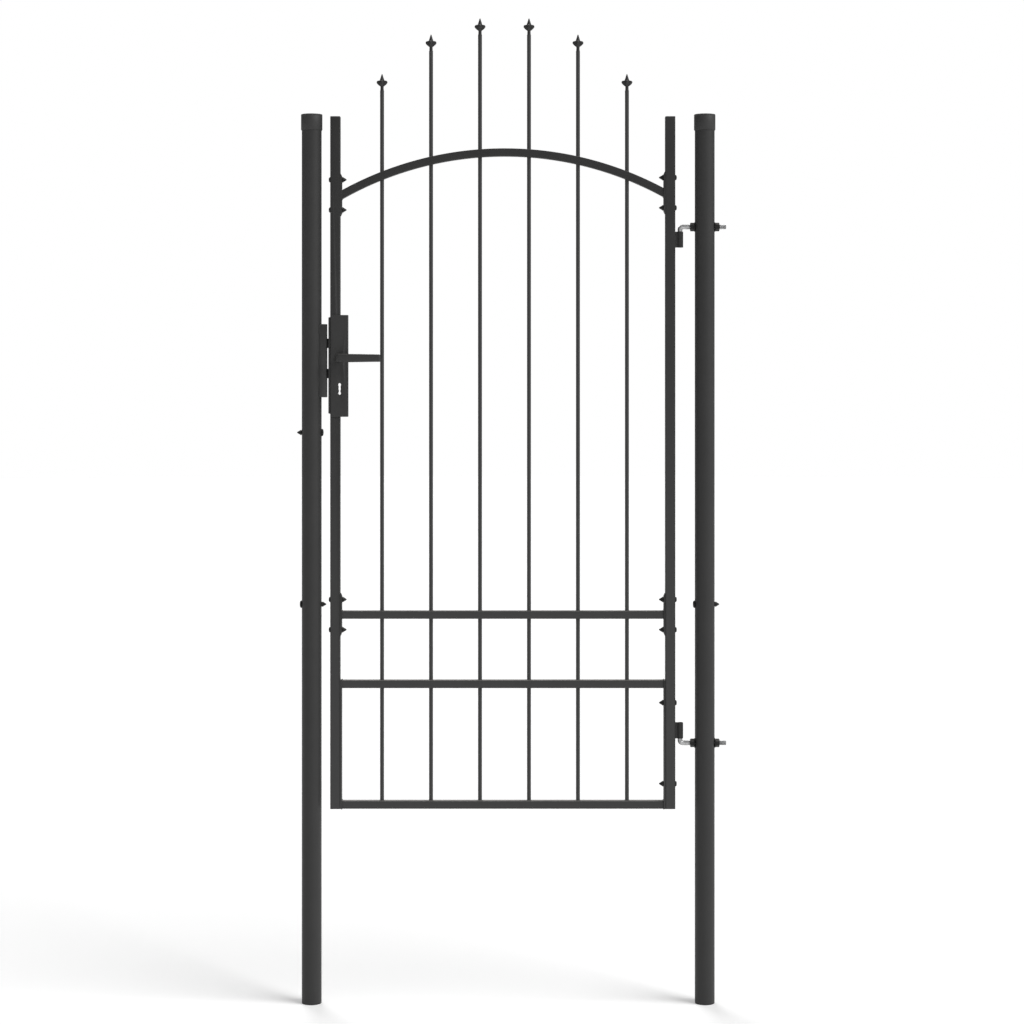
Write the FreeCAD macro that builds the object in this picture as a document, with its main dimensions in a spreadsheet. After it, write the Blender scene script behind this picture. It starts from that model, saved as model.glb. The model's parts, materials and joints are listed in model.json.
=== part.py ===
import FreeCAD, Part

import os

import Sketcher
from FreeCAD import Placement, Rotation, Vector

# Garden gate: a steel leaf with an arched top between two round posts. It hangs on two
# bolt-through pintle hinges and shuts with a lever-handled mortise lock.
# Millimetres, +Z up. X runs from the latch post (-X) to the hinge post (+X), the gate's
# middle plane is y = 0, and z = 0 is the foot of both posts.

doc = FreeCAD.newDocument("garden_gate")

# ---------------------------------------------------------------- driving dimensions
SIZES = (
    # posts and their caps
    ("post_opening", 945, "clear width between the two posts"),
    ("post_diameter", 50, "round post, outside"),
    ("post_wall", 1.5, "post tube wall"),
    ("post_length", 2247.5, "post tube, foot to top"),
    ("cap_length", 41, "post cap, whole height"),
    ("cap_wall", 1.9, "post cap skirt"),
    ("cap_top", 2, "post cap's closed top"),
    ("cap_edge", 2, "rounding of the cap's top edge"),
    ("cap_play", 0.1, "cap to post, per side"),
    # leaf outline
    ("latch_gap", 22.6, "latch post to leaf"),
    ("hinge_gap", 50.1, "leaf to hinge post"),
    ("gate_bottom", 492.5, "leaf's lower edge above the post feet"),
    ("stile_length", 1751, "upright side tube with its top plug"),
    ("stile_side", 25, "square side tube, outside"),
    ("stile_wall", 1.5, "side tube wall"),
    ("stile_corner", 2, "side tube's outer corner radius"),
    ("plug_head", 2.5, "plug's head above the tube"),
    ("plug_depth", 18, "plug's part inside the tube"),
    ("plug_play", 0.1, "plug to tube, per side"),
    # rails and arch
    ("rail_side", 20, "square cross tube, outside"),
    ("rail_wall", 1.5, "cross tube wall"),
    ("rail_corner", 1.5, "cross tube's outer corner radius"),
    ("lower_rail_rise", 315.1, "leaf's lower edge to the lower rail's middle"),
    ("upper_rail_rise", 490.3, "leaf's lower edge to the upper rail's middle"),
    ("arch_end_rise", 1552.9, "leaf's lower edge to the middle of the arch's latch end"),
    ("arch_end_step", 5.5, "the arch's hinge end above its latch end"),
    ("arch_rise", 104.5, "the arch's crown above the line between its ends"),
    # flats that carry the rails' ends
    ("flat_thickness", 4, "end plates and side flats"),
    ("end_plate_length", 107, "end plate, top to bottom"),
    ("end_plate_bevel", 3, "slope at an end plate's ends, across its thickness"),
    ("end_plate_taper", 7, "slope at an end plate's ends, along its length"),
    # pickets and spear points
    ("picket_diameter", 10, "round upright bar"),
    ("picket_first", 105.5, "latch stile's inner face to the first bar"),
    ("picket_pitch", 124, "bar to bar"),
    ("picket_play", 0.1, "bar to its punched hole, per side"),
    ("tip_rise_outer", 1859, "outer points above the leaf's lower edge"),
    ("tip_rise_next", 1959, "next points above the leaf's lower edge"),
    ("tip_rise_middle", 2000, "middle points above the leaf's lower edge"),
    ("finial_length", 43.8, "spear point, tip to the bar's end"),
    ("spear_length", 16, "spear point's cone"),
    ("spear_radius", 6.2, "foot of the cone"),
    ("spear_tip", 0.7, "blunted tip"),
    ("collar_drop", 22.3, "tip to the collar's middle"),
    ("lobe_radius", 5.4, "a collar lobe's rounded end"),
    ("collar_width", 27.5, "collar across two lobes"),
    ("waist_radius", 6.6, "collar's core"),
    ("neck_radius", 4.4, "neck at the bar's end"),
    # bolts through the leaf's frame
    ("frame_bolt_pitch", 76.5, "between an end plate's two bolts"),
    ("flat_bolt_high", 267.2, "leaf's lower edge to the side flat's upper bolt"),
    ("flat_bolt_low", 62.2, "leaf's lower edge to the side flat's lower bolt"),
    ("frame_bolt_diameter", 6, "shank"),
    ("frame_bolt_head", 13.6, "domed head, across"),
    ("frame_bolt_dome", 4.4, "domed head, height"),
    ("frame_nut_diameter", 14, "pointed nut, across"),
    ("frame_nut_rim", 4, "pointed nut's straight part"),
    ("frame_nut_cone", 7.8, "pointed nut's cone"),
    ("bolt_play", 0.25, "shank to its punched hole, per side"),
    ("thread_play", 0.05, "shank to its nut, per side"),
    # bolts through the posts
    ("post_bolt_high", 1443.8, "height of the latch post's upper bolt"),
    ("post_bolt_low", 1009.1, "height of the lower bolt in both posts"),
    ("post_bolt_diameter", 8, "shank"),
    ("post_bolt_head", 18.8, "domed head, across"),
    ("post_bolt_dome", 5, "domed head, height"),
    ("post_nut_diameter", 12.7, "pointed nut, across"),
    ("post_nut_rim", 5, "pointed nut's straight part"),
    ("post_nut_cone", 7, "pointed nut's cone"),
    # hinges
    ("hinge_offset", 12.5, "leaf's hinge edge to the hinge axis"),
    ("upper_hinge_height", 1964, "upper hinge bolt's shank"),
    ("lower_hinge_height", 657.9, "lower hinge bolt's shank"),
    ("hinge_rod", 12, "hinge bolt's diameter"),
    ("hinge_bend", 7, "hinge bolt's bend, to its centre line"),
    ("hinge_shoulder", 11.6, "shank's centre line to the pin's shoulder"),
    ("hinge_pin", 10, "turned-down pin"),
    ("hinge_tail", 17.2, "hinge bolt's end beyond its outer nut"),
    ("rod_play", 0.4, "hinge bolt to its hole in the post, per side"),
    ("barrel_diameter", 16, "hinge barrel, outside"),
    ("barrel_length", 40, "hinge barrel"),
    ("lug_width", 10, "lug between barrel and stile"),
    ("pin_play", 0.05, "pin to barrel, per side"),
    ("shoulder_play", 0.3, "shoulder to barrel end"),
    ("washer_diameter", 24, "hinge washer"),
    ("washer_thickness", 2, "hinge washer"),
    ("nut_across", 19, "hinge nut across its flats"),
    ("nut_thickness", 10, "hinge nut"),
    ("nut_chamfer", 0.9, "hinge nut's corner chamfer"),
    # keeper on the latch post
    ("keeper_width", 30, "keeper channel, front to back"),
    ("keeper_sheet", 2.5, "keeper channel's sheet"),
    ("keeper_reach", 13.4, "post's face to the keeper's web"),
    ("keeper_drop", 99.1, "spindle to the keeper's lower end"),
    ("keeper_length", 185, "keeper, top to bottom"),
    ("keeper_play", 0.8, "lock bolt to its window in the keeper, per side"),
    # lock
    ("spindle_height", 1632.1, "handle's axis above the post feet"),
    ("spindle_depth", 23.1, "leaf's latch edge to the handle's axis"),
    ("spindle_side", 8, "square spindle"),
    ("spindle_play", 0.05, "spindle to its square holes, per side"),
    ("forend_thickness", 4.6, "lock's face plate"),
    ("forend_width", 22, "lock's face plate, front to back"),
    ("forend_length", 245, "lock's face plate, top to bottom"),
    ("forend_drop", 141.1, "spindle to the face plate's lower end"),
    ("forend_bevel", 1.5, "slope at the face plate's ends"),
    ("shield_width", 42.6, "cover plate under the handle"),
    ("shield_length", 257.3, "cover plate, top to bottom"),
    ("shield_drop", 148.4, "spindle to the cover plate's lower end"),
    ("shield_inset", 1.8, "leaf's latch edge to the cover plate"),
    ("shield_thickness", 3, "cover plate"),
    ("shield_edge", 1, "cover plate's softened front edge"),
    ("case_margin", 14, "face plate's end to the lock case"),
    ("case_thickness", 16, "lock case, front to back"),
    ("case_wall", 1.2, "lock case's sheet"),
    ("case_play", 0.4, "lock case to its slot in the stile, per side"),
    ("case_room", 0.5, "drawn-back latch to the case's back wall"),
    ("housing_wall", 1.5, "housing behind the stile"),
    ("housing_margin", 4, "cover plate's end to the housing"),
    ("housing_play", 0.3, "lock case to housing"),
    ("latch_rise", 37.4, "spindle to the latch bolt's middle"),
    ("deadbolt_drop", 39.1, "spindle to the deadbolt's middle"),
    ("lock_bolt_height", 24, "latch bolt and deadbolt, top to bottom"),
    ("lock_bolt_thickness", 11, "latch bolt and deadbolt, front to back"),
    ("lock_bolt_bite", 6.8, "lock bolt's nose beyond the keeper's face"),
    ("lock_bolt_proud", 0.4, "nose left proud of the face plate when drawn back"),
    ("lock_bolt_play", 0.3, "lock bolt to its window, per side"),
    ("latch_nose", 7, "length of the latch bolt's slope"),
    ("latch_head", 23.5, "latch bolt's full-height part"),
    ("deadbolt_body", 34, "deadbolt's full-height part"),
    ("talon_width", 7, "notch that the key turns in"),
    ("talon_depth", 6, "notch that the key turns in"),
    ("tail_thickness", 4, "latch tail and follower, front to back"),
    ("tail_height", 6, "latch tail, top to bottom"),
    ("lug_play", 0.9, "follower arm to the latch's lug"),
    ("lug_thickness", 2.2, "latch's lug"),
    ("lug_height", 11, "spindle to the lug's lower end"),
    ("arm_width", 3.6, "follower's arm"),
    ("handle_angle", 40, "handle's travel in degrees"),
    ("follower_radius", 9, "follower's disc"),
    ("trunnion_radius", 7, "follower's bearing in the case walls"),
    ("trunnion_play", 0.1, "follower's bearing, per side"),
    ("spring_wire", 0.7, "latch spring's wire"),
    ("spring_radius", 2.8, "latch spring to its wire's middle"),
    ("spring_turns", 4, "latch spring"),
    ("spring_rise", 8.4, "latch's middle to its spring's axis"),
    ("spring_room", 13.5, "latch head to the spring's stop"),
    ("stop_thickness", 2, "spring's stop in the case"),
    ("stop_height", 7, "spring's stop in the case"),
    # keyway, a slot of three rounded lobes
    ("key_drop", 78.1, "spindle to the middle of the keyway"),
    ("key_length", 30, "keyway, top to bottom"),
    ("key_top_lobe", 9, "keyway's upper lobe, across"),
    ("key_mid_lobe", 7.8, "keyway's middle lobe, across"),
    ("key_low_lobe", 8.4, "keyway's lower lobe, across"),
    ("key_high_slot", 7, "keyway between the upper lobes"),
    ("key_low_slot", 5.8, "keyway between the lower lobes"),
    # handles
    ("handle_reach", 106.4, "handle's axis to its tip"),
    ("handle_heel", 9, "handle's axis to its heel"),
    ("handle_stand", 50, "leaf's middle plane to the handle's middle"),
    ("handle_thickness", 12, "handle, front to back"),
    ("handle_root", 21.4, "handle's height at its heel"),
    ("handle_end", 18.5, "handle's height at its tip"),
    ("handle_round", 3, "softened edges of the handle"),
    ("handle_neck", 16, "handle's round neck"),
    ("neck_play", 0.1, "neck to its hole in the cover plate, per side"),
    ("grub_diameter", 5, "grub screw in the handle's neck"),
    # screws of the lock
    ("screw_diameter", 5, "screw shank"),
    ("screw_head", 9, "countersunk head, across"),
    ("screw_sink", 2.2, "countersunk head, height"),
    ("screw_play", 0.2, "shank to its hole, per side"),
    ("screw_margin", 11.5, "cover plate's end to its screw"),
    ("screw_edge", 8.5, "cover plate's free edge to its screw"),
    ("boss_diameter", 9, "threaded boss behind the front cover plate"),
    ("boss_length", 9, "threaded boss behind the front cover plate"),
    ("forend_screw_margin", 7, "face plate's end to its screw"),
    ("forend_screw_length", 14, "face plate's screw"),
)

# ------------------------------------------------------ places worked out from the sizes
SPOTS = (
    ("post_radius", "size.post_diameter / 2"),
    ("post_axis", "size.post_opening / 2 + post_radius"),
    ("cap_radius", "post_radius + size.cap_play + size.cap_wall"),
    ("leaf_left", "size.latch_gap - size.post_opening / 2"),
    ("leaf_right", "size.post_opening / 2 - size.hinge_gap"),
    ("left_inner", "leaf_left + size.stile_side"),
    ("right_inner", "leaf_right - size.stile_side"),
    ("rail_left", "left_inner + size.flat_thickness"),
    ("rail_right", "right_inner - size.flat_thickness"),
    ("rail_span", "rail_right - rail_left"),
    ("rail_middle", "(rail_left + rail_right) / 2"),
    ("stile_tube", "size.stile_length - size.plug_head"),
    ("stile_top", "size.gate_bottom + stile_tube"),
    ("bottom_rail_z", "size.gate_bottom + size.rail_side / 2"),
    ("lower_rail_z", "size.gate_bottom + size.lower_rail_rise"),
    ("upper_rail_z", "size.gate_bottom + size.upper_rail_rise"),
    ("arch_end_z", "size.gate_bottom + size.arch_end_rise"),
    ("arch_hinge_z", "arch_end_z + size.arch_end_step"),
    ("arch_chord", "sqrt(rail_span * rail_span + size.arch_end_step * size.arch_end_step)"),
    ("arch_radius", "arch_chord * arch_chord / (8 * size.arch_rise) + size.arch_rise / 2"),
    ("arch_drop", "(arch_radius - size.arch_rise) / arch_chord"),
    ("arch_centre_x", "rail_middle + arch_drop * size.arch_end_step"),
    ("arch_centre_z", "(arch_end_z + arch_hinge_z) / 2 - arch_drop * rail_span"),
    ("side_flat_top", "lower_rail_z + size.rail_side / 2"),
    ("frame_shank", "size.stile_side + size.flat_thickness + size.frame_nut_rim + 0.5"),
    ("post_shank", "size.post_diameter + size.post_nut_rim + 0.5"),
    ("hinge_x", "leaf_right + size.hinge_offset"),
    ("hinge_nut_end", "post_axis + post_radius + size.washer_thickness + size.nut_thickness"),
    ("hinge_end", "hinge_nut_end + size.hinge_tail"),
    ("keeper_face", "size.keeper_reach - size.post_opening / 2"),
    ("keeper_bottom", "size.spindle_height - size.keeper_drop"),
    ("forend_face", "leaf_left - size.forend_thickness"),
    ("forend_bottom", "size.spindle_height - size.forend_drop"),
    ("shield_left", "leaf_left + size.shield_inset"),
    ("shield_bottom", "size.spindle_height - size.shield_drop"),
    ("shield_back", "size.stile_side / 2"),
    ("shield_face", "shield_back + size.shield_thickness"),
    ("spindle_x", "leaf_left + size.spindle_depth"),
    ("bolt_tip", "keeper_face - size.lock_bolt_bite"),
    ("bolt_travel", "forend_face - bolt_tip - size.lock_bolt_proud"),
    ("lug_left", "spindle_x + size.arm_width / 2 + size.lug_play"),
    ("case_back", "lug_left + size.lug_thickness + bolt_travel + size.case_room + size.case_wall"),
    ("case_bottom", "forend_bottom + size.case_margin"),
    ("case_length", "size.forend_length - 2 * size.case_margin"),
    ("housing_back", "case_back + size.housing_play + size.housing_wall"),
    ("housing_bottom", "shield_bottom + size.housing_margin"),
    ("housing_length", "size.shield_length - 2 * size.housing_margin"),
    ("latch_z", "size.spindle_height + size.latch_rise"),
    ("deadbolt_z", "size.spindle_height - size.deadbolt_drop"),
    ("latch_back", "bolt_tip + size.latch_head"),
    ("stop_left", "latch_back + size.spring_room"),
    ("arm_tilt", "size.arm_width / 2 * (1 - cos(size.handle_angle))"),
    ("arm_reach", "(bolt_travel + arm_tilt) / sin(size.handle_angle)"),
    ("key_z", "size.spindle_height - size.key_drop"),
    ("key_top_z", "key_z + size.key_length / 2 - size.key_top_lobe / 2"),
    ("key_low_z", "key_z - size.key_length / 2 + size.key_low_lobe / 2"),
    ("screw_x", "shield_left + size.shield_width - size.screw_edge"),
    ("screw_low_z", "shield_bottom + size.screw_margin"),
    ("screw_high_z", "shield_bottom + size.shield_length - size.screw_margin"),
    ("forend_screw_low_z", "forend_bottom + size.forend_screw_margin"),
    ("forend_screw_high_z", "forend_bottom + size.forend_length - size.forend_screw_margin"),
)

PICKETS = ("outer", "next", "middle", "middle", "next", "outer")  # heights of the six bars' points

# Turns that lay an object's own +Z along another direction
UP = Rotation()
DOWN = Rotation(Vector(1, 0, 0), 180)
RIGHT = Rotation(Vector(0, 1, 0), 90)
LEFT = Rotation(Vector(0, 1, 0), -90)
BACK = Rotation(Vector(1, 0, 0), -90)
FRONT = Rotation(Vector(1, 0, 0), 90)


def fill_sheet(name, rows):
    """A spreadsheet with one row per value: its name, the value and what it is."""
    sheet = doc.addObject("Spreadsheet::Sheet", name)
    for number, (alias, value, *note) in enumerate(rows, start=1):
        sheet.set(f"A{number}", alias)
        sheet.set(f"B{number}", value if isinstance(value, str) else str(value))
        sheet.setAlias(f"B{number}", alias)
        if note:
            sheet.set(f"C{number}", note[0])
    return sheet


sizes = fill_sheet("size", SIZES)
spots = fill_sheet("spot", [(alias, "=" + formula) for alias, formula in SPOTS])
doc.recompute()


# ------------------------------------------------------------------------ small helpers
def worked_out(formula):
    """The number that a formula gives now."""
    value = sizes.evalExpression(formula)
    return float(getattr(value, "Value", value))


def tie(item, **formulas):
    """Binds an object's properties to formulas."""
    for name, formula in formulas.items():
        item.setExpression(name, formula)
    return item


def put(item, x="0", y="0", z="0", turn=UP):
    """Turns an object and binds its place to three formulas."""
    item.Placement = Placement(Vector(), turn)
    for axis, formula in zip("xyz", (x, y, z)):
        item.setExpression(f"Placement.Base.{axis}", formula)
    return item


def block(name, sides, corner):
    """A box with its three sides and its lowest corner."""
    item = doc.addObject("Part::Box", name)
    return put(tie(item, Length=sides[0], Width=sides[1], Height=sides[2]), *corner)


def rod(name, radius, length, start, turn=UP):
    """A cylinder that starts at a point and runs along a direction."""
    item = doc.addObject("Part::Cylinder", name)
    return put(tie(item, Radius=radius, Height=length), *start, turn)


def ball(name, radius, centre):
    item = doc.addObject("Part::Sphere", name)
    return put(tie(item, Radius=radius), *centre)


def cone(name, radius_low, radius_high, length, start, turn=UP):
    item = doc.addObject("Part::Cone", name)
    return put(tie(item, Radius1=radius_low, Radius2=radius_high, Height=length), *start, turn)


def fused(name, items):
    item = doc.addObject("Part::MultiFuse", name)
    item.Shapes = items
    return item


def cut(name, base, tool):
    item = doc.addObject("Part::Cut", name)
    item.Base = base
    item.Tool = tool
    return item


def common(name, first, second):
    item = doc.addObject("Part::Common", name)
    item.Base = first
    item.Tool = second
    return item


def together(name, items):
    """Several separate solids as one object."""
    item = doc.addObject("Part::Compound", name)
    item.Links = items
    return item


def copy_of(master, name, x="0", y="0", z="0", turn=UP):
    """The same piece again at another place."""
    item = doc.addObject("App::Link", name)
    item.LinkedObject = master
    return put(item, x, y, z, turn)


def new_body(name):
    return doc.addObject("PartDesign::Body", name)


def new_sketch(body, plane, name):
    """A sketch on one of the body's own origin planes."""
    sketch = body.newObject("Sketcher::SketchObject", name)
    face = next(f for f in body.Origin.OriginFeatures if f.Role == plane)
    sketch.AttachmentSupport = [(face, "")]
    sketch.MapMode = "FlatFace"
    return sketch


def hold_point(sketch, line, end, x, y):
    """Holds a sketch point at two formulas, measured from the sketch's origin."""
    for kind, formula in (("DistanceX", x), ("DistanceY", y)):
        constraint = Sketcher.Constraint(kind, -1, 1, line, end, worked_out(formula))
        number = sketch.addConstraint(constraint)
        sketch.setExpression(f"Constraints[{number}]", formula)


def outline(sketch, points):
    """A closed outline of straight sides through the points, each a pair of formulas."""
    corners = [Vector(worked_out(x), worked_out(y), 0) for x, y in points]
    first = sketch.GeometryCount
    count = len(points)
    for i in range(count):
        sketch.addGeometry(Part.LineSegment(corners[i], corners[(i + 1) % count]), False)
    for i in range(count):
        joint = Sketcher.Constraint("Coincident", first + i, 2, first + (i + 1) % count, 1)
        sketch.addConstraint(joint)
    for i, (x, y) in enumerate(points):
        hold_point(sketch, first + i, 1, x, y)


def rectangle(sketch, x_low, y_low, x_high, y_high):
    outline(sketch, [(x_low, y_low), (x_high, y_low), (x_high, y_high), (x_low, y_high)])


def circle(sketch, x, y, radius):
    middle = Vector(worked_out(x), worked_out(y), 0)
    shape = Part.Circle(middle, Vector(0, 0, 1), worked_out(radius))
    number = sketch.addGeometry(shape, False)
    hold_point(sketch, number, 3, x, y)
    size = sketch.addConstraint(Sketcher.Constraint("Radius", number, worked_out(radius)))
    sketch.setExpression(f"Constraints[{size}]", radius)


def pad(body, sketch, length, symmetric=False, reversed_way=False):
    feature = body.newObject("PartDesign::Pad", f"{body.Name}_pad")
    feature.Profile = sketch
    feature.SideType = "Symmetric" if symmetric else "One side"
    feature.Reversed = reversed_way
    return tie(feature, Length=length)


def pocket_through(body, sketch):
    feature = body.newObject("PartDesign::Pocket", f"{body.Name}_pocket")
    feature.Profile = sketch
    feature.SideType = "Symmetric"
    feature.Type = "ThroughAll"
    return feature


def turned(name, points):
    """A piece turned on a lathe about its own Z axis; the points are (radius, height)."""
    body = new_body(name)
    sketch = new_sketch(body, "XZ_Plane", f"{name}_profile")
    outline(sketch, points)
    feature = body.newObject("PartDesign::Revolution", f"{name}_revolution")
    feature.Profile = sketch
    feature.ReferenceAxis = (sketch, ["V_Axis"])
    feature.Angle = 360
    return body


def edges_where(feature, test):
    """Names of the feature's edges that pass a test."""
    doc.recompute()
    return [f"Edge{i}" for i, edge in enumerate(feature.Shape.Edges, start=1) if test(edge)]


def lies_along(edge, direction):
    """True for a straight edge along a direction."""
    if not isinstance(edge.Curve, Part.Line):
        return False
    return abs(edge.Curve.Direction.dot(direction)) > 0.999


def fillet(body, feature, test, radius):
    """Rounds the feature's edges that pass a test."""
    names = edges_where(feature, test)
    rounding = body.newObject("PartDesign::Fillet", f"{feature.Name}_fillet")
    rounding.Base = (feature, names)
    return tie(rounding, Radius=radius)


def square_tube(name, side, wall, corner, length, plane, direction):
    """A square tube with rounded outer corners, from its body's own origin."""
    body = new_body(name)
    sketch = new_sketch(body, plane, f"{name}_section")
    half = f"{side} / 2"
    inner = f"({side} / 2 - {wall})"
    rectangle(sketch, f"-{half}", f"-{half}", half, half)
    rectangle(sketch, f"-{inner}", f"-{inner}", inner, inner)
    tube = pad(body, sketch, length)
    limit = worked_out(inner) + 0.01

    def is_outer(edge):
        across = [v for v, d in zip(edge.Vertexes[0].Point, direction) if not d]
        return lies_along(edge, direction) and max(abs(v) for v in across) > limit

    fillet(body, tube, is_outer, corner)
    return body


def dome_bolt(name, diameter, head, dome, shank):
    """A round-headed bolt: its head's flat is at z = 0, with the shank towards +Z."""
    curve = f"(({head}) * ({head}) / 4 + {dome} * {dome}) / (2 * {dome})"
    cap = doc.addObject("Part::Sphere", f"{name}_dome")
    tie(cap, Radius=curve, Angle2=f"-asin(1 - {dome} / ({curve}))")
    put(cap, z=f"{curve} - {dome}")
    stem = rod(f"{name}_stem", f"{diameter} / 2", shank, ("0", "0", "0"))
    return fused(name, [cap, stem])


def pointed_nut(name, bore, diameter, rim, cone_length, depth):
    """A nut that ends in a cone: it seats at z = 0 and points towards +Z."""
    radius = f"{diameter} / 2"
    solid = turned(f"{name}_solid", [
        ("0", "0"), (radius, "0"), (radius, rim), ("0.6", f"{rim} + {cone_length}"),
        ("0", f"{rim} + {cone_length}"),
    ])
    hole = rod(f"{name}_bore", bore, depth, ("0", "0", "0"))
    return cut(name, solid, hole)


nodes = []


def keep(item, label):
    """Marks an object as one of the gate's finished sub-parts."""
    item.Label = label
    nodes.append(item)
    return item


# --------------------------------------------------------------------------- hardware
# One of each kind is made at the origin, and every other one is a copy of it.
frame_bolt = dome_bolt(
    "frame_bolt", "size.frame_bolt_diameter", "size.frame_bolt_head",
    "size.frame_bolt_dome", "spot.frame_shank",
)
frame_nut = pointed_nut(
    "frame_nut", "size.frame_bolt_diameter / 2 + size.thread_play", "size.frame_nut_diameter",
    "size.frame_nut_rim", "size.frame_nut_cone", "size.frame_nut_rim + 1",
)
post_bolt = dome_bolt(
    "post_bolt", "size.post_bolt_diameter", "size.post_bolt_head",
    "size.post_bolt_dome", "spot.post_shank",
)
post_nut = pointed_nut(
    "post_nut", "size.post_bolt_diameter / 2 + size.thread_play", "size.post_nut_diameter",
    "size.post_nut_rim", "size.post_nut_cone", "size.post_nut_rim + 1",
)

hinge_hex = tie(
    doc.addObject("Part::Prism", "hinge_nut_hex"),
    Circumradius="size.nut_across / sqrt(3)", Height="size.nut_thickness",
)
hinge_hex.Polygon = 6
hinge_lathe = turned("hinge_nut_lathe", [
    ("0", "0"),
    ("size.nut_across / 2", "0"),
    ("size.nut_across / sqrt(3)", "size.nut_chamfer"),
    ("size.nut_across / sqrt(3)", "size.nut_thickness - size.nut_chamfer"),
    ("size.nut_across / 2", "size.nut_thickness"),
    ("0", "size.nut_thickness"),
])
hinge_nut_blank = common("hinge_nut_blank", hinge_hex, hinge_lathe)
hinge_nut_bore = rod(
    "hinge_nut_bore", "size.hinge_rod / 2 + size.thread_play", "size.nut_thickness",
    ("0", "0", "0"),
)
hinge_nut = cut("hinge_nut", hinge_nut_blank, hinge_nut_bore)
hinge_washer = turned("hinge_washer", [
    ("size.hinge_rod / 2 + size.rod_play", "0"),
    ("size.washer_diameter / 2", "0"),
    ("size.washer_diameter / 2", "size.washer_thickness"),
    ("size.hinge_rod / 2 + size.rod_play", "size.washer_thickness"),
])

# ------------------------------------------------------------------------------ posts
HINGES = (
    # name, shank height, which way the pin points
    ("upper", "size.upper_hinge_height", -1),
    ("lower", "size.lower_hinge_height", 1),
)


def make_post(name, side, holes):
    """A round post; holes are (height, radius) of the holes that cross it along X."""
    body = new_body(name)
    ring = new_sketch(body, "XY_Plane", f"{name}_section")
    circle(ring, "0", "0", "spot.post_radius")
    circle(ring, "0", "0", "spot.post_radius - size.post_wall")
    pad(body, ring, "size.post_length")
    drilling = new_sketch(body, "YZ_Plane", f"{name}_holes")
    for height, radius in holes:
        circle(drilling, "0", height, radius)
    pocket_through(body, drilling)
    keep(put(body, x=f"{side} * spot.post_axis"), name)


POST_BOLT_HOLE = "size.post_bolt_diameter / 2 + size.bolt_play"
HINGE_HOLE = "size.hinge_rod / 2 + size.rod_play"
make_post("latch_post", -1, [
    ("size.post_bolt_high", POST_BOLT_HOLE),
    ("size.post_bolt_low", POST_BOLT_HOLE),
])
make_post("hinge_post", 1, [
    ("size.post_bolt_low", POST_BOLT_HOLE),
    ("size.upper_hinge_height", HINGE_HOLE),
    ("size.lower_hinge_height", HINGE_HOLE),
])


def make_post_cap(name, side):
    """A pressed cap over the post's top, with a rounded top edge."""
    body = turned(name, [
        ("0", "size.cap_length"),
        ("0", "size.cap_length - size.cap_top"),
        ("spot.post_radius + size.cap_play", "size.cap_length - size.cap_top"),
        ("spot.post_radius + size.cap_play", "0"),
        ("spot.cap_radius", "0"),
        ("spot.cap_radius", "size.cap_length"),
    ])
    top = worked_out("size.cap_length")
    rim = worked_out("spot.cap_radius")

    def is_top_edge(edge):
        return (
            isinstance(edge.Curve, Part.Circle)
            and abs(edge.Curve.Center.z - top) < 0.01
            and abs(edge.Curve.Radius - rim) < 0.01
        )

    fillet(body, body.Tip, is_top_edge, "size.cap_edge")
    height = "size.post_length + size.cap_top - size.cap_length"
    keep(put(body, f"{side} * spot.post_axis", "0", height), name)


make_post_cap("latch_post_cap", -1)
make_post_cap("hinge_post_cap", 1)

# Cross bolts: (post's side, height, the side of the head)
POST_BOLTS = (
    (-1, "size.post_bolt_high", 1),
    (-1, "size.post_bolt_low", -1),
    (1, "size.post_bolt_low", -1),
)
post_bolts = []
post_bolt_nuts = []
for i, (post_side, height, head_side) in enumerate(POST_BOLTS, start=1):
    head_x = f"{post_side} * spot.post_axis + {head_side} * spot.post_radius"
    seat_x = f"{post_side} * spot.post_axis - {head_side} * spot.post_radius"
    inward = LEFT if head_side > 0 else RIGHT
    post_bolts.append(copy_of(post_bolt, f"post_bolt_{i}", head_x, "0", height, inward))
    post_bolt_nuts.append(copy_of(post_nut, f"post_nut_{i}", seat_x, "0", height, inward))
keep(together("post_bolt_group", post_bolts), "post_bolts")
keep(together("post_nut_group", post_bolt_nuts), "post_bolt_nuts")

# Keeper: a channel welded to the latch post, its legs shaped to the round tube, with a
# window in its web for each lock bolt.
keeper = new_body("keeper")
keeper_section = new_sketch(keeper, "XY_Plane", "keeper_section")
KEEPER_ROOT = "size.post_opening / -2 - spot.post_radius / 2"
KEEPER_HALF = "size.keeper_width / 2"
KEEPER_INNER = "(size.keeper_width / 2 - size.keeper_sheet)"
KEEPER_WEB = "spot.keeper_face - size.keeper_sheet"
outline(keeper_section, [
    (KEEPER_ROOT, f"-{KEEPER_HALF}"),
    ("spot.keeper_face", f"-{KEEPER_HALF}"),
    ("spot.keeper_face", KEEPER_HALF),
    (KEEPER_ROOT, KEEPER_HALF),
    (KEEPER_ROOT, KEEPER_INNER),
    (KEEPER_WEB, KEEPER_INNER),
    (KEEPER_WEB, f"-{KEEPER_INNER}"),
    (KEEPER_ROOT, f"-{KEEPER_INNER}"),
])
keeper_channel = pad(keeper, keeper_section, "size.keeper_length")
keeper_post = new_sketch(keeper, "XY_Plane", "keeper_post_line")
circle(keeper_post, "-spot.post_axis", "0", "spot.post_radius")
pocket_through(keeper, keeper_post)
keeper_windows = new_sketch(keeper, "YZ_Plane", "keeper_windows")
for middle in ("spot.latch_z", "spot.deadbolt_z"):
    half_width = "(size.lock_bolt_thickness / 2 + size.keeper_play)"
    half_height = "(size.lock_bolt_height / 2 + size.keeper_play)"
    rectangle(
        keeper_windows, f"-{half_width}", f"{middle} - spot.keeper_bottom - {half_height}",
        half_width, f"{middle} - spot.keeper_bottom + {half_height}",
    )
pocket_through(keeper, keeper_windows)
keep(put(keeper, z="spot.keeper_bottom"), "keeper")


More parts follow.
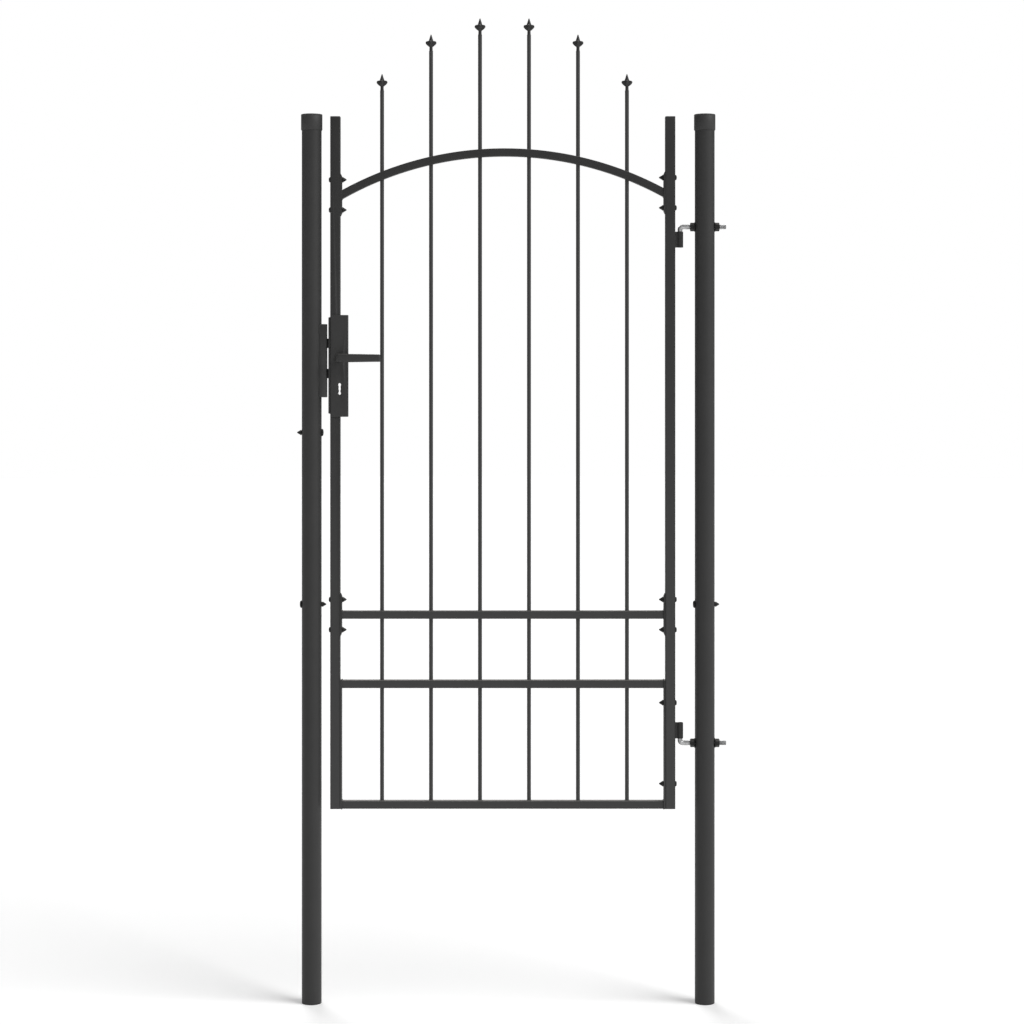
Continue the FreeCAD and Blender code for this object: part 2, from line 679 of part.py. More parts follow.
def make_hinge_bolt(name, height, way):
    """An L bolt: a threaded shank through the post, a bend, and a turned-down pin."""
    shank_start = "spot.hinge_x + size.hinge_bend"
    shank = rod(
        f"{name}_shank", "size.hinge_rod / 2", f"spot.hinge_end - ({shank_start})",
        (shank_start, "0", height), RIGHT,
    )
    bend = doc.addObject("Part::Torus", f"{name}_bend")
    tie(bend, Radius1="size.hinge_bend", Radius2="size.hinge_rod / 2")
    bend.Angle3 = 90
    put(bend, shank_start, "0", f"{height} + {way} * size.hinge_bend")
    # the ring's quarter from its own +X to +Y is laid from the pin's line to the shank's
    across = Vector(-1, 0, 0)
    towards_shank = Vector(0, 0, -way)
    bend.Placement.Rotation = Rotation(across, towards_shank, across.cross(towards_shank), "ZXY")
    pin_way = UP if way > 0 else DOWN
    neck_z = f"{height} + {way} * size.hinge_bend"
    neck = rod(
        f"{name}_neck", "size.hinge_rod / 2", "size.hinge_shoulder - size.hinge_bend",
        ("spot.hinge_x", "0", neck_z), pin_way,
    )
    pin = rod(
        f"{name}_pin", "size.hinge_pin / 2",
        "size.hinge_shoulder - size.hinge_bend + size.barrel_length - 2",
        ("spot.hinge_x", "0", neck_z), pin_way,
    )
    keep(fused(name, [shank, bend, neck, pin]), f"{name}")


hinge_nuts = []
hinge_washers = []
for name, height, way in HINGES:
    make_hinge_bolt(f"{name}_hinge_bolt", height, way)
    for side, turn in ((1, RIGHT), (-1, LEFT)):
        washer_x = f"spot.post_axis + {side} * spot.post_radius"
        nut_x = f"{washer_x} + {side} * size.washer_thickness"
        where = f"{name}_{'outer' if side > 0 else 'inner'}"
        hinge_washers.append(copy_of(hinge_washer, f"{where}_washer", washer_x, "0", height, turn))
        hinge_nuts.append(copy_of(hinge_nut, f"{where}_nut", nut_x, "0", height, turn))
keep(together("hinge_washer_group", hinge_washers), "hinge_washers")
keep(together("hinge_nut_group", hinge_nuts), "hinge_nuts")


# ------------------------------------------------------------------ lock cutting tools
CUTTER_FRONT = "-30"  # cutters through the whole lock start and end clear of it
CUTTER_LENGTH = "60"


def across_leaf(name, radius, x, z):
    """A round cutter through the whole lock, front to back."""
    return rod(name, radius, CUTTER_LENGTH, (x, CUTTER_FRONT, z), BACK)


def key_block(name, width, low, high):
    corner = (f"spot.spindle_x - {width} / 2", CUTTER_FRONT, low)
    return block(name, (width, CUTTER_LENGTH, f"{high} - ({low})"), corner)


keyway = fused("keyway", [
    across_leaf("key_top", "size.key_top_lobe / 2", "spot.spindle_x", "spot.key_top_z"),
    across_leaf("key_mid", "size.key_mid_lobe / 2", "spot.spindle_x", "spot.key_z"),
    across_leaf("key_low", "size.key_low_lobe / 2", "spot.spindle_x", "spot.key_low_z"),
    key_block("key_high", "size.key_high_slot", "spot.key_z", "spot.key_top_z"),
    key_block("key_lower", "size.key_low_slot", "spot.key_low_z", "spot.key_z"),
])
neck_way = across_leaf(
    "neck_way", "size.handle_neck / 2 + size.neck_play", "spot.spindle_x", "size.spindle_height",
)
follower_way = across_leaf(
    "follower_way", "size.trunnion_radius + size.trunnion_play",
    "spot.spindle_x", "size.spindle_height",
)
case_slot = block(
    "case_slot",
    (
        "size.stile_side + 20",
        "size.case_thickness + 2 * size.case_play",
        "spot.case_length + 2 * size.case_play",
    ),
    (
        "spot.leaf_left - 10",
        "-(size.case_thickness / 2 + size.case_play)",
        "spot.case_bottom - size.case_play",
    ),
)
FOREND_SCREWS = ("spot.forend_screw_low_z", "spot.forend_screw_high_z")
SHIELD_SCREWS = ("spot.screw_low_z", "spot.screw_high_z")
forend_screw_holes = together("forend_screw_holes", [
    rod(
        f"forend_screw_hole_{i}", "size.screw_diameter / 2 + size.thread_play",
        "size.forend_thickness + size.forend_screw_length", ("spot.forend_face - 1", "0", z), RIGHT,
    )
    for i, z in enumerate(FOREND_SCREWS, start=1)
])

# ------------------------------------------------------------------------------- leaf
def bolt_pair(middle):
    """Heights of an end plate's two bolts."""
    return f"{middle} - size.frame_bolt_pitch / 2", f"{middle} + size.frame_bolt_pitch / 2"


ARCH_LATCH_BOLTS = bolt_pair("spot.arch_end_z")
ARCH_HINGE_BOLTS = bolt_pair("spot.arch_hinge_z")
RAIL_BOLTS = bolt_pair("spot.upper_rail_z")
FLAT_BOLTS = ("size.gate_bottom + size.flat_bolt_low", "size.gate_bottom + size.flat_bolt_high")


def bolt_way(name, side, height):
    """A cutter for one frame bolt, through a stile and the flat behind it."""
    start = "spot.leaf_left - 1" if side < 0 else "spot.leaf_right + 1"
    turn = RIGHT if side < 0 else LEFT
    radius = "size.frame_bolt_diameter / 2 + size.bolt_play"
    return rod(name, radius, "size.stile_side + size.flat_thickness + 2", (start, "0", height), turn)


left_bolt_ways = together("left_bolt_ways", [
    bolt_way(f"left_bolt_way_{i}", -1, z) for i, z in enumerate(ARCH_LATCH_BOLTS + RAIL_BOLTS, start=1)
])
right_bolt_ways = together("right_bolt_ways", [
    bolt_way(f"right_bolt_way_{i}", 1, z)
    for i, z in enumerate(ARCH_HINGE_BOLTS + RAIL_BOLTS + FLAT_BOLTS, start=1)
])


def make_stile_tube(name, edge_x):
    tube = square_tube(
        name, "size.stile_side", "size.stile_wall", "size.stile_corner", "spot.stile_tube",
        "XY_Plane", Vector(0, 0, 1),
    )
    return put(tube, f"{edge_x} + size.stile_side / 2", "0", "size.gate_bottom")


latch_tube = make_stile_tube("latch_stile_tube", "spot.leaf_left")
latch_cuts = fused("latch_stile_cuts", [
    left_bolt_ways, case_slot, keyway, neck_way, forend_screw_holes,
])
keep(cut("latch_stile_cut", latch_tube, latch_cuts), "latch_stile")
hinge_tube = make_stile_tube("hinge_stile_tube", "spot.right_inner")
keep(cut("hinge_stile_cut", hinge_tube, right_bolt_ways), "hinge_stile")


def make_stile_plug(name, edge_x):
    """A plastic plug: a hollow square stub inside the tube, under a head with soft edges."""
    body = new_body(name)
    head = new_sketch(body, "XY_Plane", f"{name}_head")
    half = "size.stile_side / 2"
    rectangle(head, f"-{half}", f"-{half}", half, half)
    cover = pad(body, head, "size.plug_head")
    corners = fillet(body, cover, lambda e: lies_along(e, Vector(0, 0, 1)), "size.stile_corner")
    top = worked_out("size.plug_head")

    def on_top(edge):
        return all(abs(v.Z - top) < 0.01 for v in edge.Vertexes)

    fillet(body, corners, on_top, "size.plug_head / 2")
    stub = new_sketch(body, "XY_Plane", f"{name}_stub")
    outer = "(size.stile_side / 2 - size.stile_wall - size.plug_play)"
    inner = "(size.stile_side / 2 - size.stile_wall - size.plug_play - 2)"
    rectangle(stub, f"-{outer}", f"-{outer}", outer, outer)
    rectangle(stub, f"-{inner}", f"-{inner}", inner, inner)
    pad(body, stub, "size.plug_depth", reversed_way=True)
    keep(put(body, f"{edge_x} + size.stile_side / 2", "0", "spot.stile_top"), name)


make_stile_plug("latch_stile_plug", "spot.leaf_left")
make_stile_plug("hinge_stile_plug", "spot.right_inner")

picket_x = [
    f"spot.left_inner + size.picket_first + {i} * size.picket_pitch" for i in range(len(PICKETS))
]
picket_ways = together("picket_ways", [
    rod(
        f"picket_way_{i}", "size.picket_diameter / 2 + size.picket_play", "size.stile_length",
        (x, "0", "size.gate_bottom + size.rail_side"),
    )
    for i, x in enumerate(picket_x, start=1)
])


def make_rail(name, height, punched):
    """A square cross tube between the flats; a punched one lets the pickets through."""
    tube = square_tube(
        f"{name}_tube", "size.rail_side", "size.rail_wall", "size.rail_corner",
        "spot.rail_span", "YZ_Plane", Vector(1, 0, 0),
    )
    put(tube, "spot.rail_left", "0", height)
    keep(cut(f"{name}_cut", tube, picket_ways) if punched else tube, name)


make_rail("bottom_rail", "spot.bottom_rail_z", False)
make_rail("lower_rail", "spot.lower_rail_z", True)
make_rail("upper_rail", "spot.upper_rail_z", True)

# The arch is a square tube bent to one radius, trimmed upright at its two end plates.
arch = new_body("arch_tube")
arch_section = new_sketch(arch, "YZ_Plane", "arch_section")
for half in ("size.rail_side / 2", "(size.rail_side / 2 - size.rail_wall)"):
    rectangle(
        arch_section, f"-{half}", f"spot.arch_radius - {half}", half, f"spot.arch_radius + {half}",
    )
arch_turn = arch.newObject("PartDesign::Revolution", "arch_revolution")
arch_turn.Profile = arch_section
arch_turn.ReferenceAxis = (arch_section, ["H_Axis"])
arch_turn.Midplane = True
tie(arch_turn, Angle="2 * asin(spot.rail_span / 2 / spot.arch_radius) + 4 deg")
put(arch, "spot.arch_centre_x", "0", "spot.arch_centre_z")
arch_window = block(
    "arch_window", ("spot.rail_span", "100", "2 * size.arch_rise + 100"),
    ("spot.rail_left", "-50", "spot.arch_end_z - size.arch_rise / 2 - 50"),
)
arch_trimmed = common("arch_trimmed", arch, arch_window)
keep(cut("arch_cut", arch_trimmed, picket_ways), "arch_rail")


def make_end_plate(name, side, height, ways):
    """A flat with sloped ends, bolted to a stile's inner face."""
    body = new_body(f"{name}_blank")
    sketch = new_sketch(body, "XZ_Plane", f"{name}_outline")
    wall = "spot.left_inner" if side < 0 else "spot.right_inner"
    face = f"{wall} - {side} * size.flat_thickness"
    root = f"{wall} - {side} * (size.flat_thickness - size.end_plate_bevel)"
    half = "size.end_plate_length / 2"
    shoulder = "(size.end_plate_length / 2 - size.end_plate_taper)"
    points = [
        (wall, f"-{half}"), (root, f"-{half}"), (face, f"-{shoulder}"),
        (face, shoulder), (root, half), (wall, half),
    ]
    outline(sketch, points)
    pad(body, sketch, "size.stile_side", symmetric=True)
    put(body, z=height)
    keep(cut(f"{name}_cut", body, ways), name)


make_end_plate("arch_latch_plate", -1, "spot.arch_end_z", left_bolt_ways)
make_end_plate("arch_hinge_plate", 1, "spot.arch_hinge_z", right_bolt_ways)
make_end_plate("rail_latch_plate", -1, "spot.upper_rail_z", left_bolt_ways)
make_end_plate("rail_hinge_plate", 1, "spot.upper_rail_z", right_bolt_ways)


def make_side_flat(name, corner_x):
    sides = ("size.flat_thickness", "size.stile_side", "spot.side_flat_top - size.gate_bottom")
    return block(name, sides, (corner_x, "-size.stile_side / 2", "size.gate_bottom"))


keep(make_side_flat("latch_side_flat", "spot.left_inner"), "latch_side_flat")
hinge_flat = make_side_flat("hinge_side_flat_blank", "spot.rail_right")
keep(cut("hinge_side_flat_cut", hinge_flat, right_bolt_ways), "hinge_side_flat")


def make_finial(name, x, tip_z):
    """A cast spear point: a cone over a collar of four rounded lobes, and a short neck."""
    spear = turned(f"{name}_spear", [
        ("0", "0"),
        ("size.spear_tip", "0"),
        ("size.spear_radius", "-size.spear_length"),
        ("size.waist_radius", "-size.collar_drop + size.lobe_radius / 2"),
        ("size.waist_radius", "-size.collar_drop - size.lobe_radius"),
        ("size.neck_radius + 0.9", "-size.collar_drop - 1.8 * size.lobe_radius"),
        ("size.neck_radius", "-size.collar_drop - 3 * size.lobe_radius"),
        ("size.neck_radius", "-size.finial_length"),
        ("0", "-size.finial_length"),
    ])
    put(spear, x, "0", tip_z)
    height = f"{tip_z} - size.collar_drop"
    reach = "(size.collar_width / 2 - size.lobe_radius)"
    pieces = [spear]
    for axis, turn in (("x", RIGHT), ("y", BACK)):
        start = (f"{x} - {reach}", "0", height) if axis == "x" else (x, f"-{reach}", height)
        pieces.append(rod(f"{name}_bar_{axis}", "size.lobe_radius", f"2 * {reach}", start, turn))
        for sign in "-+":
            end = (f"{x} {sign} {reach}", "0") if axis == "x" else (x, f"{sign} {reach}")
            end_name = f"{name}_lobe_{axis}{'a' if sign == '-' else 'b'}"
            pieces.append(ball(end_name, "size.lobe_radius", (*end, height)))
    keep(fused(f"{name}_fused", pieces), name)


for i, (x, kind) in enumerate(zip(picket_x, PICKETS), start=1):
    tip_z = f"size.gate_bottom + size.tip_rise_{kind}"
    foot_z = "size.gate_bottom + size.rail_side"
    bar = rod(
        f"picket_{i}", "size.picket_diameter / 2", f"{tip_z} - size.finial_length - ({foot_z})",
        (x, "0", foot_z),
    )
    keep(bar, f"picket_{i}")
    make_finial(f"finial_{i}", x, tip_z)


frame_bolts = []
frame_bolt_nuts = []
FRAME_BOLTS = (
    (-1, ARCH_LATCH_BOLTS + RAIL_BOLTS),
    (1, ARCH_HINGE_BOLTS + RAIL_BOLTS + FLAT_BOLTS),
)
for side, heights in FRAME_BOLTS:
    # round heads outside the stiles, pointed nuts inside the leaf
    hand = "latch" if side < 0 else "hinge"
    turn = RIGHT if side < 0 else LEFT
    head_x = "spot.leaf_left" if side < 0 else "spot.leaf_right"
    seat_x = "spot.rail_left" if side < 0 else "spot.rail_right"
    for number, z in enumerate(heights, start=1):
        frame_bolts.append(copy_of(frame_bolt, f"{hand}_bolt_{number}", head_x, "0", z, turn))
        frame_bolt_nuts.append(copy_of(frame_nut, f"{hand}_nut_{number}", seat_x, "0", z, turn))
keep(together("frame_bolt_group", frame_bolts), "frame_bolts")
keep(together("frame_nut_group", frame_bolt_nuts), "frame_bolt_nuts")


def make_barrel(name, height, way):
    """A hinge barrel with a lug that is welded to the stile."""
    body = new_body(name)
    section = new_sketch(body, "XY_Plane", f"{name}_section")
    circle(section, "0", "0", "size.barrel_diameter / 2")
    pad(body, section, "size.barrel_length")
    lug = new_sketch(body, "XY_Plane", f"{name}_lug")
    half = "size.lug_width / 2"
    rectangle(lug, "-size.hinge_offset", f"-{half}", "0", half)
    pad(body, lug, "size.barrel_length")
    bore = new_sketch(body, "XY_Plane", f"{name}_bore")
    circle(bore, "0", "0", "size.hinge_pin / 2 + size.pin_play")
    pocket_through(body, bore)
    near = f"{height} + {way} * (size.hinge_shoulder + size.shoulder_play)"
    low = near if way > 0 else f"{near} - size.barrel_length"
    keep(put(body, "spot.hinge_x", "0", low), name)


for name, height, way in HINGES:
    make_barrel(f"{name}_hinge_barrel", height, way)

# ------------------------------------------------------------------------------- lock
forend = new_body("forend_blank")
forend_outline = new_sketch(forend, "XZ_Plane", "forend_outline")
FOREND_TOP = "spot.forend_bottom + size.forend_length"
outline(forend_outline, [
    ("spot.leaf_left", "spot.forend_bottom"),
    ("spot.leaf_left", FOREND_TOP),
    ("spot.forend_face", f"{FOREND_TOP} - size.forend_bevel"),
    ("spot.forend_face", "spot.forend_bottom + size.forend_bevel"),
])
pad(forend, forend_outline, "size.forend_width", symmetric=True)


def bolt_window(name, middle):
    """A cutter for the window that a lock bolt slides through."""
    sides = (
        "20",
        "size.lock_bolt_thickness + 2 * size.lock_bolt_play",
        "size.lock_bolt_height + 2 * size.lock_bolt_play",
    )
    corner = (
        "spot.forend_face - 5",
        "-(size.lock_bolt_thickness / 2 + size.lock_bolt_play)",
        f"{middle} - (size.lock_bolt_height / 2 + size.lock_bolt_play)",
    )
    return block(name, sides, corner)


latch_window = bolt_window("latch_window", "spot.latch_z")
deadbolt_window = bolt_window("deadbolt_window", "spot.deadbolt_z")
forend_sinks = together("forend_sinks", [
    cone(
        f"forend_sink_{i}", "size.screw_head / 2 + size.thread_play",
        "size.screw_diameter / 2 + size.thread_play", "size.screw_sink",
        ("spot.forend_face", "0", z), RIGHT,
    )
    for i, z in enumerate(FOREND_SCREWS, start=1)
])
forend_cuts = fused("forend_cuts", [
    latch_window, deadbolt_window, forend_screw_holes, forend_sinks,
])
keep(cut("forend_cut", forend, forend_cuts), "forend")

CASE_DEPTH = "spot.case_back - spot.leaf_left"
CASE_LOW_Y = "-size.case_thickness / 2"
case_block = block(
    "case_block", (CASE_DEPTH, "size.case_thickness - size.case_wall", "spot.case_length"),
    ("spot.leaf_left", CASE_LOW_Y, "spot.case_bottom"),
)
case_hollow = block(
    "case_hollow",
    (
        f"{CASE_DEPTH} - 2 * size.case_wall", "size.case_thickness",
        "spot.case_length - 2 * size.case_wall",
    ),
    (
        "spot.leaf_left + size.case_wall", f"{CASE_LOW_Y} + size.case_wall",
        "spot.case_bottom + size.case_wall",
    ),
)
case_cuts = fused("case_cuts", [
    case_hollow, latch_window, deadbolt_window, follower_way, keyway,
])
case_shell = cut("case_shell", case_block, case_cuts)
spring_stop = block(
    "spring_stop", ("size.stop_thickness", "size.case_thickness - 2 * size.case_wall", "size.stop_height"),
    (
        "spot.stop_left", f"{CASE_LOW_Y} + size.case_wall",
        "spot.latch_z + size.spring_rise - size.stop_height / 2",
    ),
)
keep(fused("lock_case_fused", [case_shell, spring_stop]), "lock_case")
case_lid = block(
    "case_lid", (CASE_DEPTH, "size.case_wall", "spot.case_length"),
    ("spot.leaf_left", "size.case_thickness / 2 - size.case_wall", "spot.case_bottom"),
)
lid_cuts = fused("lid_cuts", [follower_way, keyway])
keep(cut("case_lid_cut", case_lid, lid_cuts), "lock_case_lid")

# Housing: a closed box behind the stile that holds the rest of the lock case.
housing_block = block(
    "housing_block",
    ("spot.housing_back - spot.left_inner", "size.stile_side", "spot.housing_length"),
    ("spot.left_inner", "-size.stile_side / 2", "spot.housing_bottom"),
)
housing_hollow = block(
    "housing_hollow",
    (
        "spot.housing_back - spot.left_inner - size.housing_wall + 5",
        "size.stile_side - 2 * size.housing_wall",
        "spot.housing_length - 2 * size.housing_wall",
    ),
    (
        "spot.left_inner - 5", "-size.stile_side / 2 + size.housing_wall",
        "spot.housing_bottom + size.housing_wall",
    ),
)


def shield_screw_ways(name, radius, low_y, length):
    return together(name, [
        rod(f"{name}_{i}", radius, length, ("spot.screw_x", low_y, z), BACK)
        for i, z in enumerate(SHIELD_SCREWS, start=1)
    ])


boss_ways = shield_screw_ways(
    "boss_ways", "size.boss_diameter / 2 + size.screw_play", "-size.stile_side / 2 - 1", "5",
)
back_ways = shield_screw_ways(
    "back_ways", "size.screw_diameter / 2 + size.screw_play", "size.stile_side / 2 - 5", "10",
)
housing_cuts = fused("housing_cuts", [housing_hollow, neck_way, keyway, boss_ways, back_ways])
keep(cut("housing_cut", housing_block, housing_cuts), "lock_housing")


def make_shield_blank(name, side):
    """A cover plate with softened edges on its outer face; side is -1 front, 1 back."""
    body = new_body(name)
    sketch = new_sketch(body, "XZ_Plane", f"{name}_outline")
    rectangle(
        sketch, "spot.shield_left", "spot.shield_bottom",
        "spot.shield_left + size.shield_width", "spot.shield_bottom + size.shield_length",
    )
    plate = pad(body, sketch, "size.shield_thickness", reversed_way=side > 0)
    face = worked_out(f"{side} * size.shield_thickness")

    def on_face(edge):
        return all(abs(v.Y - face) < 0.01 for v in edge.Vertexes)

    fillet(body, plate, on_face, "size.shield_edge")
    return put(body, y=f"{side} * spot.shield_back")


front_blank = make_shield_blank("front_shield_blank", -1)
bosses = together("shield_bosses", [
    rod(
        f"shield_boss_{i}", "size.boss_diameter / 2", "size.boss_length",
        ("spot.screw_x", "-spot.shield_back", z), BACK,
    )
    for i, z in enumerate(SHIELD_SCREWS, start=1)
])
front_bossed = fused("front_shield_bossed", [front_blank, bosses])
boss_bores = shield_screw_ways(
    "boss_bores", "size.screw_diameter / 2 + size.thread_play", "-spot.shield_back",
    "size.boss_length + 1",
)
front_cuts = fused("front_shield_cuts", [neck_way, keyway, boss_bores])
keep(cut("front_shield_cut", front_bossed, front_cuts), "front_lock_plate")
back_blank = make_shield_blank("back_shield_blank", 1)
back_sinks = together("back_shield_sinks", [
    cone(
        f"back_sink_{i}", "size.screw_head / 2 + size.thread_play",
        "size.screw_diameter / 2 + size.thread_play", "size.screw_sink",
        ("spot.screw_x", "spot.shield_face", z), FRONT,
    )
    for i, z in enumerate(SHIELD_SCREWS, start=1)
])
back_cuts = fused("back_shield_cuts", [neck_way, keyway, back_ways, back_sinks])
keep(cut("back_shield_cut", back_blank, back_cuts), "back_lock_plate")


def sunk_screw(name, length, x, y, z, turn):
    """A countersunk screw: its head's face is at the start point."""
    head = cone(
        f"{name}_head", "size.screw_head / 2", "size.screw_diameter / 2", "size.screw_sink",
        (x, y, z), turn,
    )
    stem = rod(f"{name}_stem", "size.screw_diameter / 2", length, (x, y, z), turn)
    return fused(name, [head, stem])


forend_screws = [
    sunk_screw(
        f"forend_screw_{i}", "size.forend_screw_length", "spot.forend_face", "0", z, RIGHT,
    )
    for i, z in enumerate(FOREND_SCREWS, start=1)
]
keep(together("forend_screw_group", forend_screws), "forend_screws")
plate_screws = [
    sunk_screw(
        f"plate_screw_{i}", "2 * spot.shield_back + size.shield_thickness - 1",
        "spot.screw_x", "spot.shield_face", z, FRONT,
    )
    for i, z in enumerate(SHIELD_SCREWS, start=1)
]
keep(together("plate_screw_group", plate_screws), "lock_plate_screws")

# Latch bolt: a sloped head, a thin tail, and a lug that the follower's arm pushes.
latch = new_body("latch_head")
latch_plan = new_sketch(latch, "XY_Plane", "latch_plan")
HALF_THICK = "size.lock_bolt_thickness / 2"
outline(latch_plan, [
    ("spot.bolt_tip", HALF_THICK),
    ("spot.bolt_tip", f"{HALF_THICK} - 2"),
    ("spot.bolt_tip + size.latch_nose", f"-{HALF_THICK}"),
    ("spot.latch_back", f"-{HALF_THICK}"),
    ("spot.latch_back", HALF_THICK),
])
pad(latch, latch_plan, "size.lock_bolt_height", symmetric=True)
put(latch, z="spot.latch_z")
latch_tail = block(
    "latch_tail",
    ("spot.lug_left + size.lug_thickness - spot.latch_back", "size.tail_thickness", "size.tail_height"),
    ("spot.latch_back", "-size.tail_thickness / 2", "spot.latch_z - size.tail_height / 2"),
)
latch_lug = block(
    "latch_lug",
    (
        "size.lug_thickness", "size.tail_thickness",
        "size.latch_rise - size.lug_height",
    ),
    ("spot.lug_left", "-size.tail_thickness / 2", "size.spindle_height + size.lug_height"),
)
keep(fused("latch_fused", [latch, latch_tail, latch_lug]), "latch_bolt")

# Deadbolt: a plain bar with a notch in its lower edge, where the key pushes it.
deadbolt = new_body("deadbolt")
deadbolt_side = new_sketch(deadbolt, "XZ_Plane", "deadbolt_side")
DEAD_HALF = "size.lock_bolt_height / 2"
DEAD_BACK = "spot.bolt_tip + size.deadbolt_body"
outline(deadbolt_side, [
    ("spot.bolt_tip", f"-{DEAD_HALF}"),
    (f"{DEAD_BACK} - 2 * size.talon_width", f"-{DEAD_HALF}"),
    (f"{DEAD_BACK} - 2 * size.talon_width", f"-{DEAD_HALF} + size.talon_depth"),
    (f"{DEAD_BACK} - size.talon_width", f"-{DEAD_HALF} + size.talon_depth"),
    (f"{DEAD_BACK} - size.talon_width", f"-{DEAD_HALF}"),
    (DEAD_BACK, f"-{DEAD_HALF}"),
    (DEAD_BACK, DEAD_HALF),
    ("spot.bolt_tip", DEAD_HALF),
])
pad(deadbolt, deadbolt_side, "size.lock_bolt_thickness", symmetric=True)
keep(put(deadbolt, z="spot.deadbolt_z"), "deadbolt")

spring = new_body("latch_spring")
wire = new_sketch(spring, "XZ_Plane", "spring_wire_section")
circle(wire, "size.spring_radius", "0", "size.spring_wire / 2")
coil = spring.newObject("PartDesign::AdditiveHelix", "latch_spring_coil")
coil.Profile = wire
coil.ReferenceAxis = (wire, ["V_Axis"])
coil.Mode = "height-turns-angle"
tie(coil, Height="size.spring_room - 2 * size.spring_wire", Turns="size.spring_turns")
spring_z = "spot.latch_z + size.spring_rise"
keep(put(spring, "spot.latch_back + size.spring_wire", "0", spring_z, RIGHT), "latch_spring")

# ----------------------------------------------------------------------------- handle
HALF_TAIL = "size.tail_thickness / 2"
spindle_axis = ("spot.spindle_x", f"-{HALF_TAIL}", "size.spindle_height")
follower_disc = rod("follower_disc", "size.follower_radius", "size.tail_thickness", spindle_axis, BACK)
follower_trunnion = rod(
    "follower_trunnion", "size.trunnion_radius", "size.case_thickness",
    ("spot.spindle_x", "-size.case_thickness / 2", "size.spindle_height"), BACK,
)
follower_arm = block(
    "follower_arm", ("size.arm_width", "size.tail_thickness", "spot.arm_reach"),
    ("spot.spindle_x - size.arm_width / 2", f"-{HALF_TAIL}", "size.spindle_height"),
)
follower_blank = fused("follower_blank", [follower_disc, follower_trunnion, follower_arm])


def spindle_bar(name, side, length):
    """A square bar on the handle's axis, centred on the leaf's middle plane."""
    corner = (f"spot.spindle_x - ({side}) / 2", f"-({length}) / 2", f"size.spindle_height - ({side}) / 2")
    return block(name, (side, length, side), corner)


square_hole = spindle_bar("spindle_hole", "size.spindle_side + 2 * size.spindle_play", "200")
keep(cut("follower_cut", follower_blank, square_hole), "follower")
SPINDLE_LENGTH = "2 * size.handle_stand - size.handle_thickness"
keep(spindle_bar("spindle", "size.spindle_side", SPINDLE_LENGTH), "spindle")
spindle_socket = spindle_bar(
    "spindle_socket", "size.spindle_side + 2 * size.spindle_play", SPINDLE_LENGTH,
)


def make_handle(name, side):
    """A lever: a round neck on the spindle and a flat arm that tapers to its tip."""
    arm = new_body(f"{name}_arm")
    sketch = new_sketch(arm, "XZ_Plane", f"{name}_outline")
    outline(sketch, [
        ("-size.handle_heel", "-size.handle_root / 2"),
        ("size.handle_reach", "-size.handle_end / 2"),
        ("size.handle_reach", "size.handle_end / 2"),
        ("-size.handle_heel", "size.handle_root / 2"),
    ])
    blade = pad(arm, sketch, "size.handle_thickness", symmetric=True)
    ends = fillet(arm, blade, lambda e: lies_along(e, Vector(0, 1, 0)), "2 * size.handle_round")
    face = worked_out("size.handle_thickness / 2")

    def on_face(edge):
        return all(abs(abs(v.Y) - face) < 0.01 for v in edge.Vertexes)

    fillet(arm, ends, on_face, "size.handle_round")
    put(arm, "spot.spindle_x", f"{side} * size.handle_stand", "size.spindle_height")
    turn = BACK if side > 0 else FRONT
    neck = rod(
        f"{name}_neck", "size.handle_neck / 2",
        "size.handle_stand - spot.shield_back - 0.3",
        ("spot.spindle_x", f"{side} * (spot.shield_back + 0.3)", "size.spindle_height"), turn,
    )
    whole = fused(f"{name}_whole", [arm, neck])
    grub_way = rod(
        f"{name}_grub_way", "size.grub_diameter / 2 + size.thread_play", "size.handle_neck",
        ("spot.spindle_x", f"{side} * size.handle_stand / 2", "size.spindle_height"), DOWN,
    )
    tools = fused(f"{name}_cuts", [spindle_socket, grub_way])
    keep(cut(f"{name}_cut", whole, tools), name)
    return rod(
        f"{name}_grub", "size.grub_diameter / 2", "size.handle_neck / 2 - size.spindle_side / 2 - 0.5",
        ("spot.spindle_x", f"{side} * size.handle_stand / 2", "size.spindle_height - size.spindle_side / 2"),
        DOWN,
    )


grubs = [make_handle("front_handle", -1), make_handle("back_handle", 1)]
keep(together("grub_screw_group", grubs), "handle_grub_screws")

# ----------------------------------------------------------------------------- output
doc.recompute()
for item in doc.Objects:
    if "Invalid" in item.State or "Error" in item.State:
        raise RuntimeError(f"{item.Name} failed: {item.State}")
os.makedirs("parts", exist_ok=True)
for node in nodes:
    shape = node.Shape
    if shape.isNull() or not shape.isValid() or not shape.Solids:
        raise RuntimeError(f"{node.Label} has no valid solid")
    shape.exportStep(f"parts/{node.Label}.step")
    print(f"{node.Label}: {len(shape.Solids)} solid(s), {shape.Volume / 1000:.1f} cm3")
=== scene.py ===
# %% [markdown]
# # A garden gate between two posts
# The gate is a light steel leaf hung on a round post. A square tube frames each side, an arched
# tube and three straight ones cross it, and six round bars run up through them and end in cast
# spear points. Bolts hold it together, and a mortise lock closes it against a keeper. The CAD
# model says where every part is. This script gives each part the form that a catalogue view
# shows: rounded edges, turned and cast shapes, screw threads, weld beads and real finishes.

# %% Load the frame
import json
import math

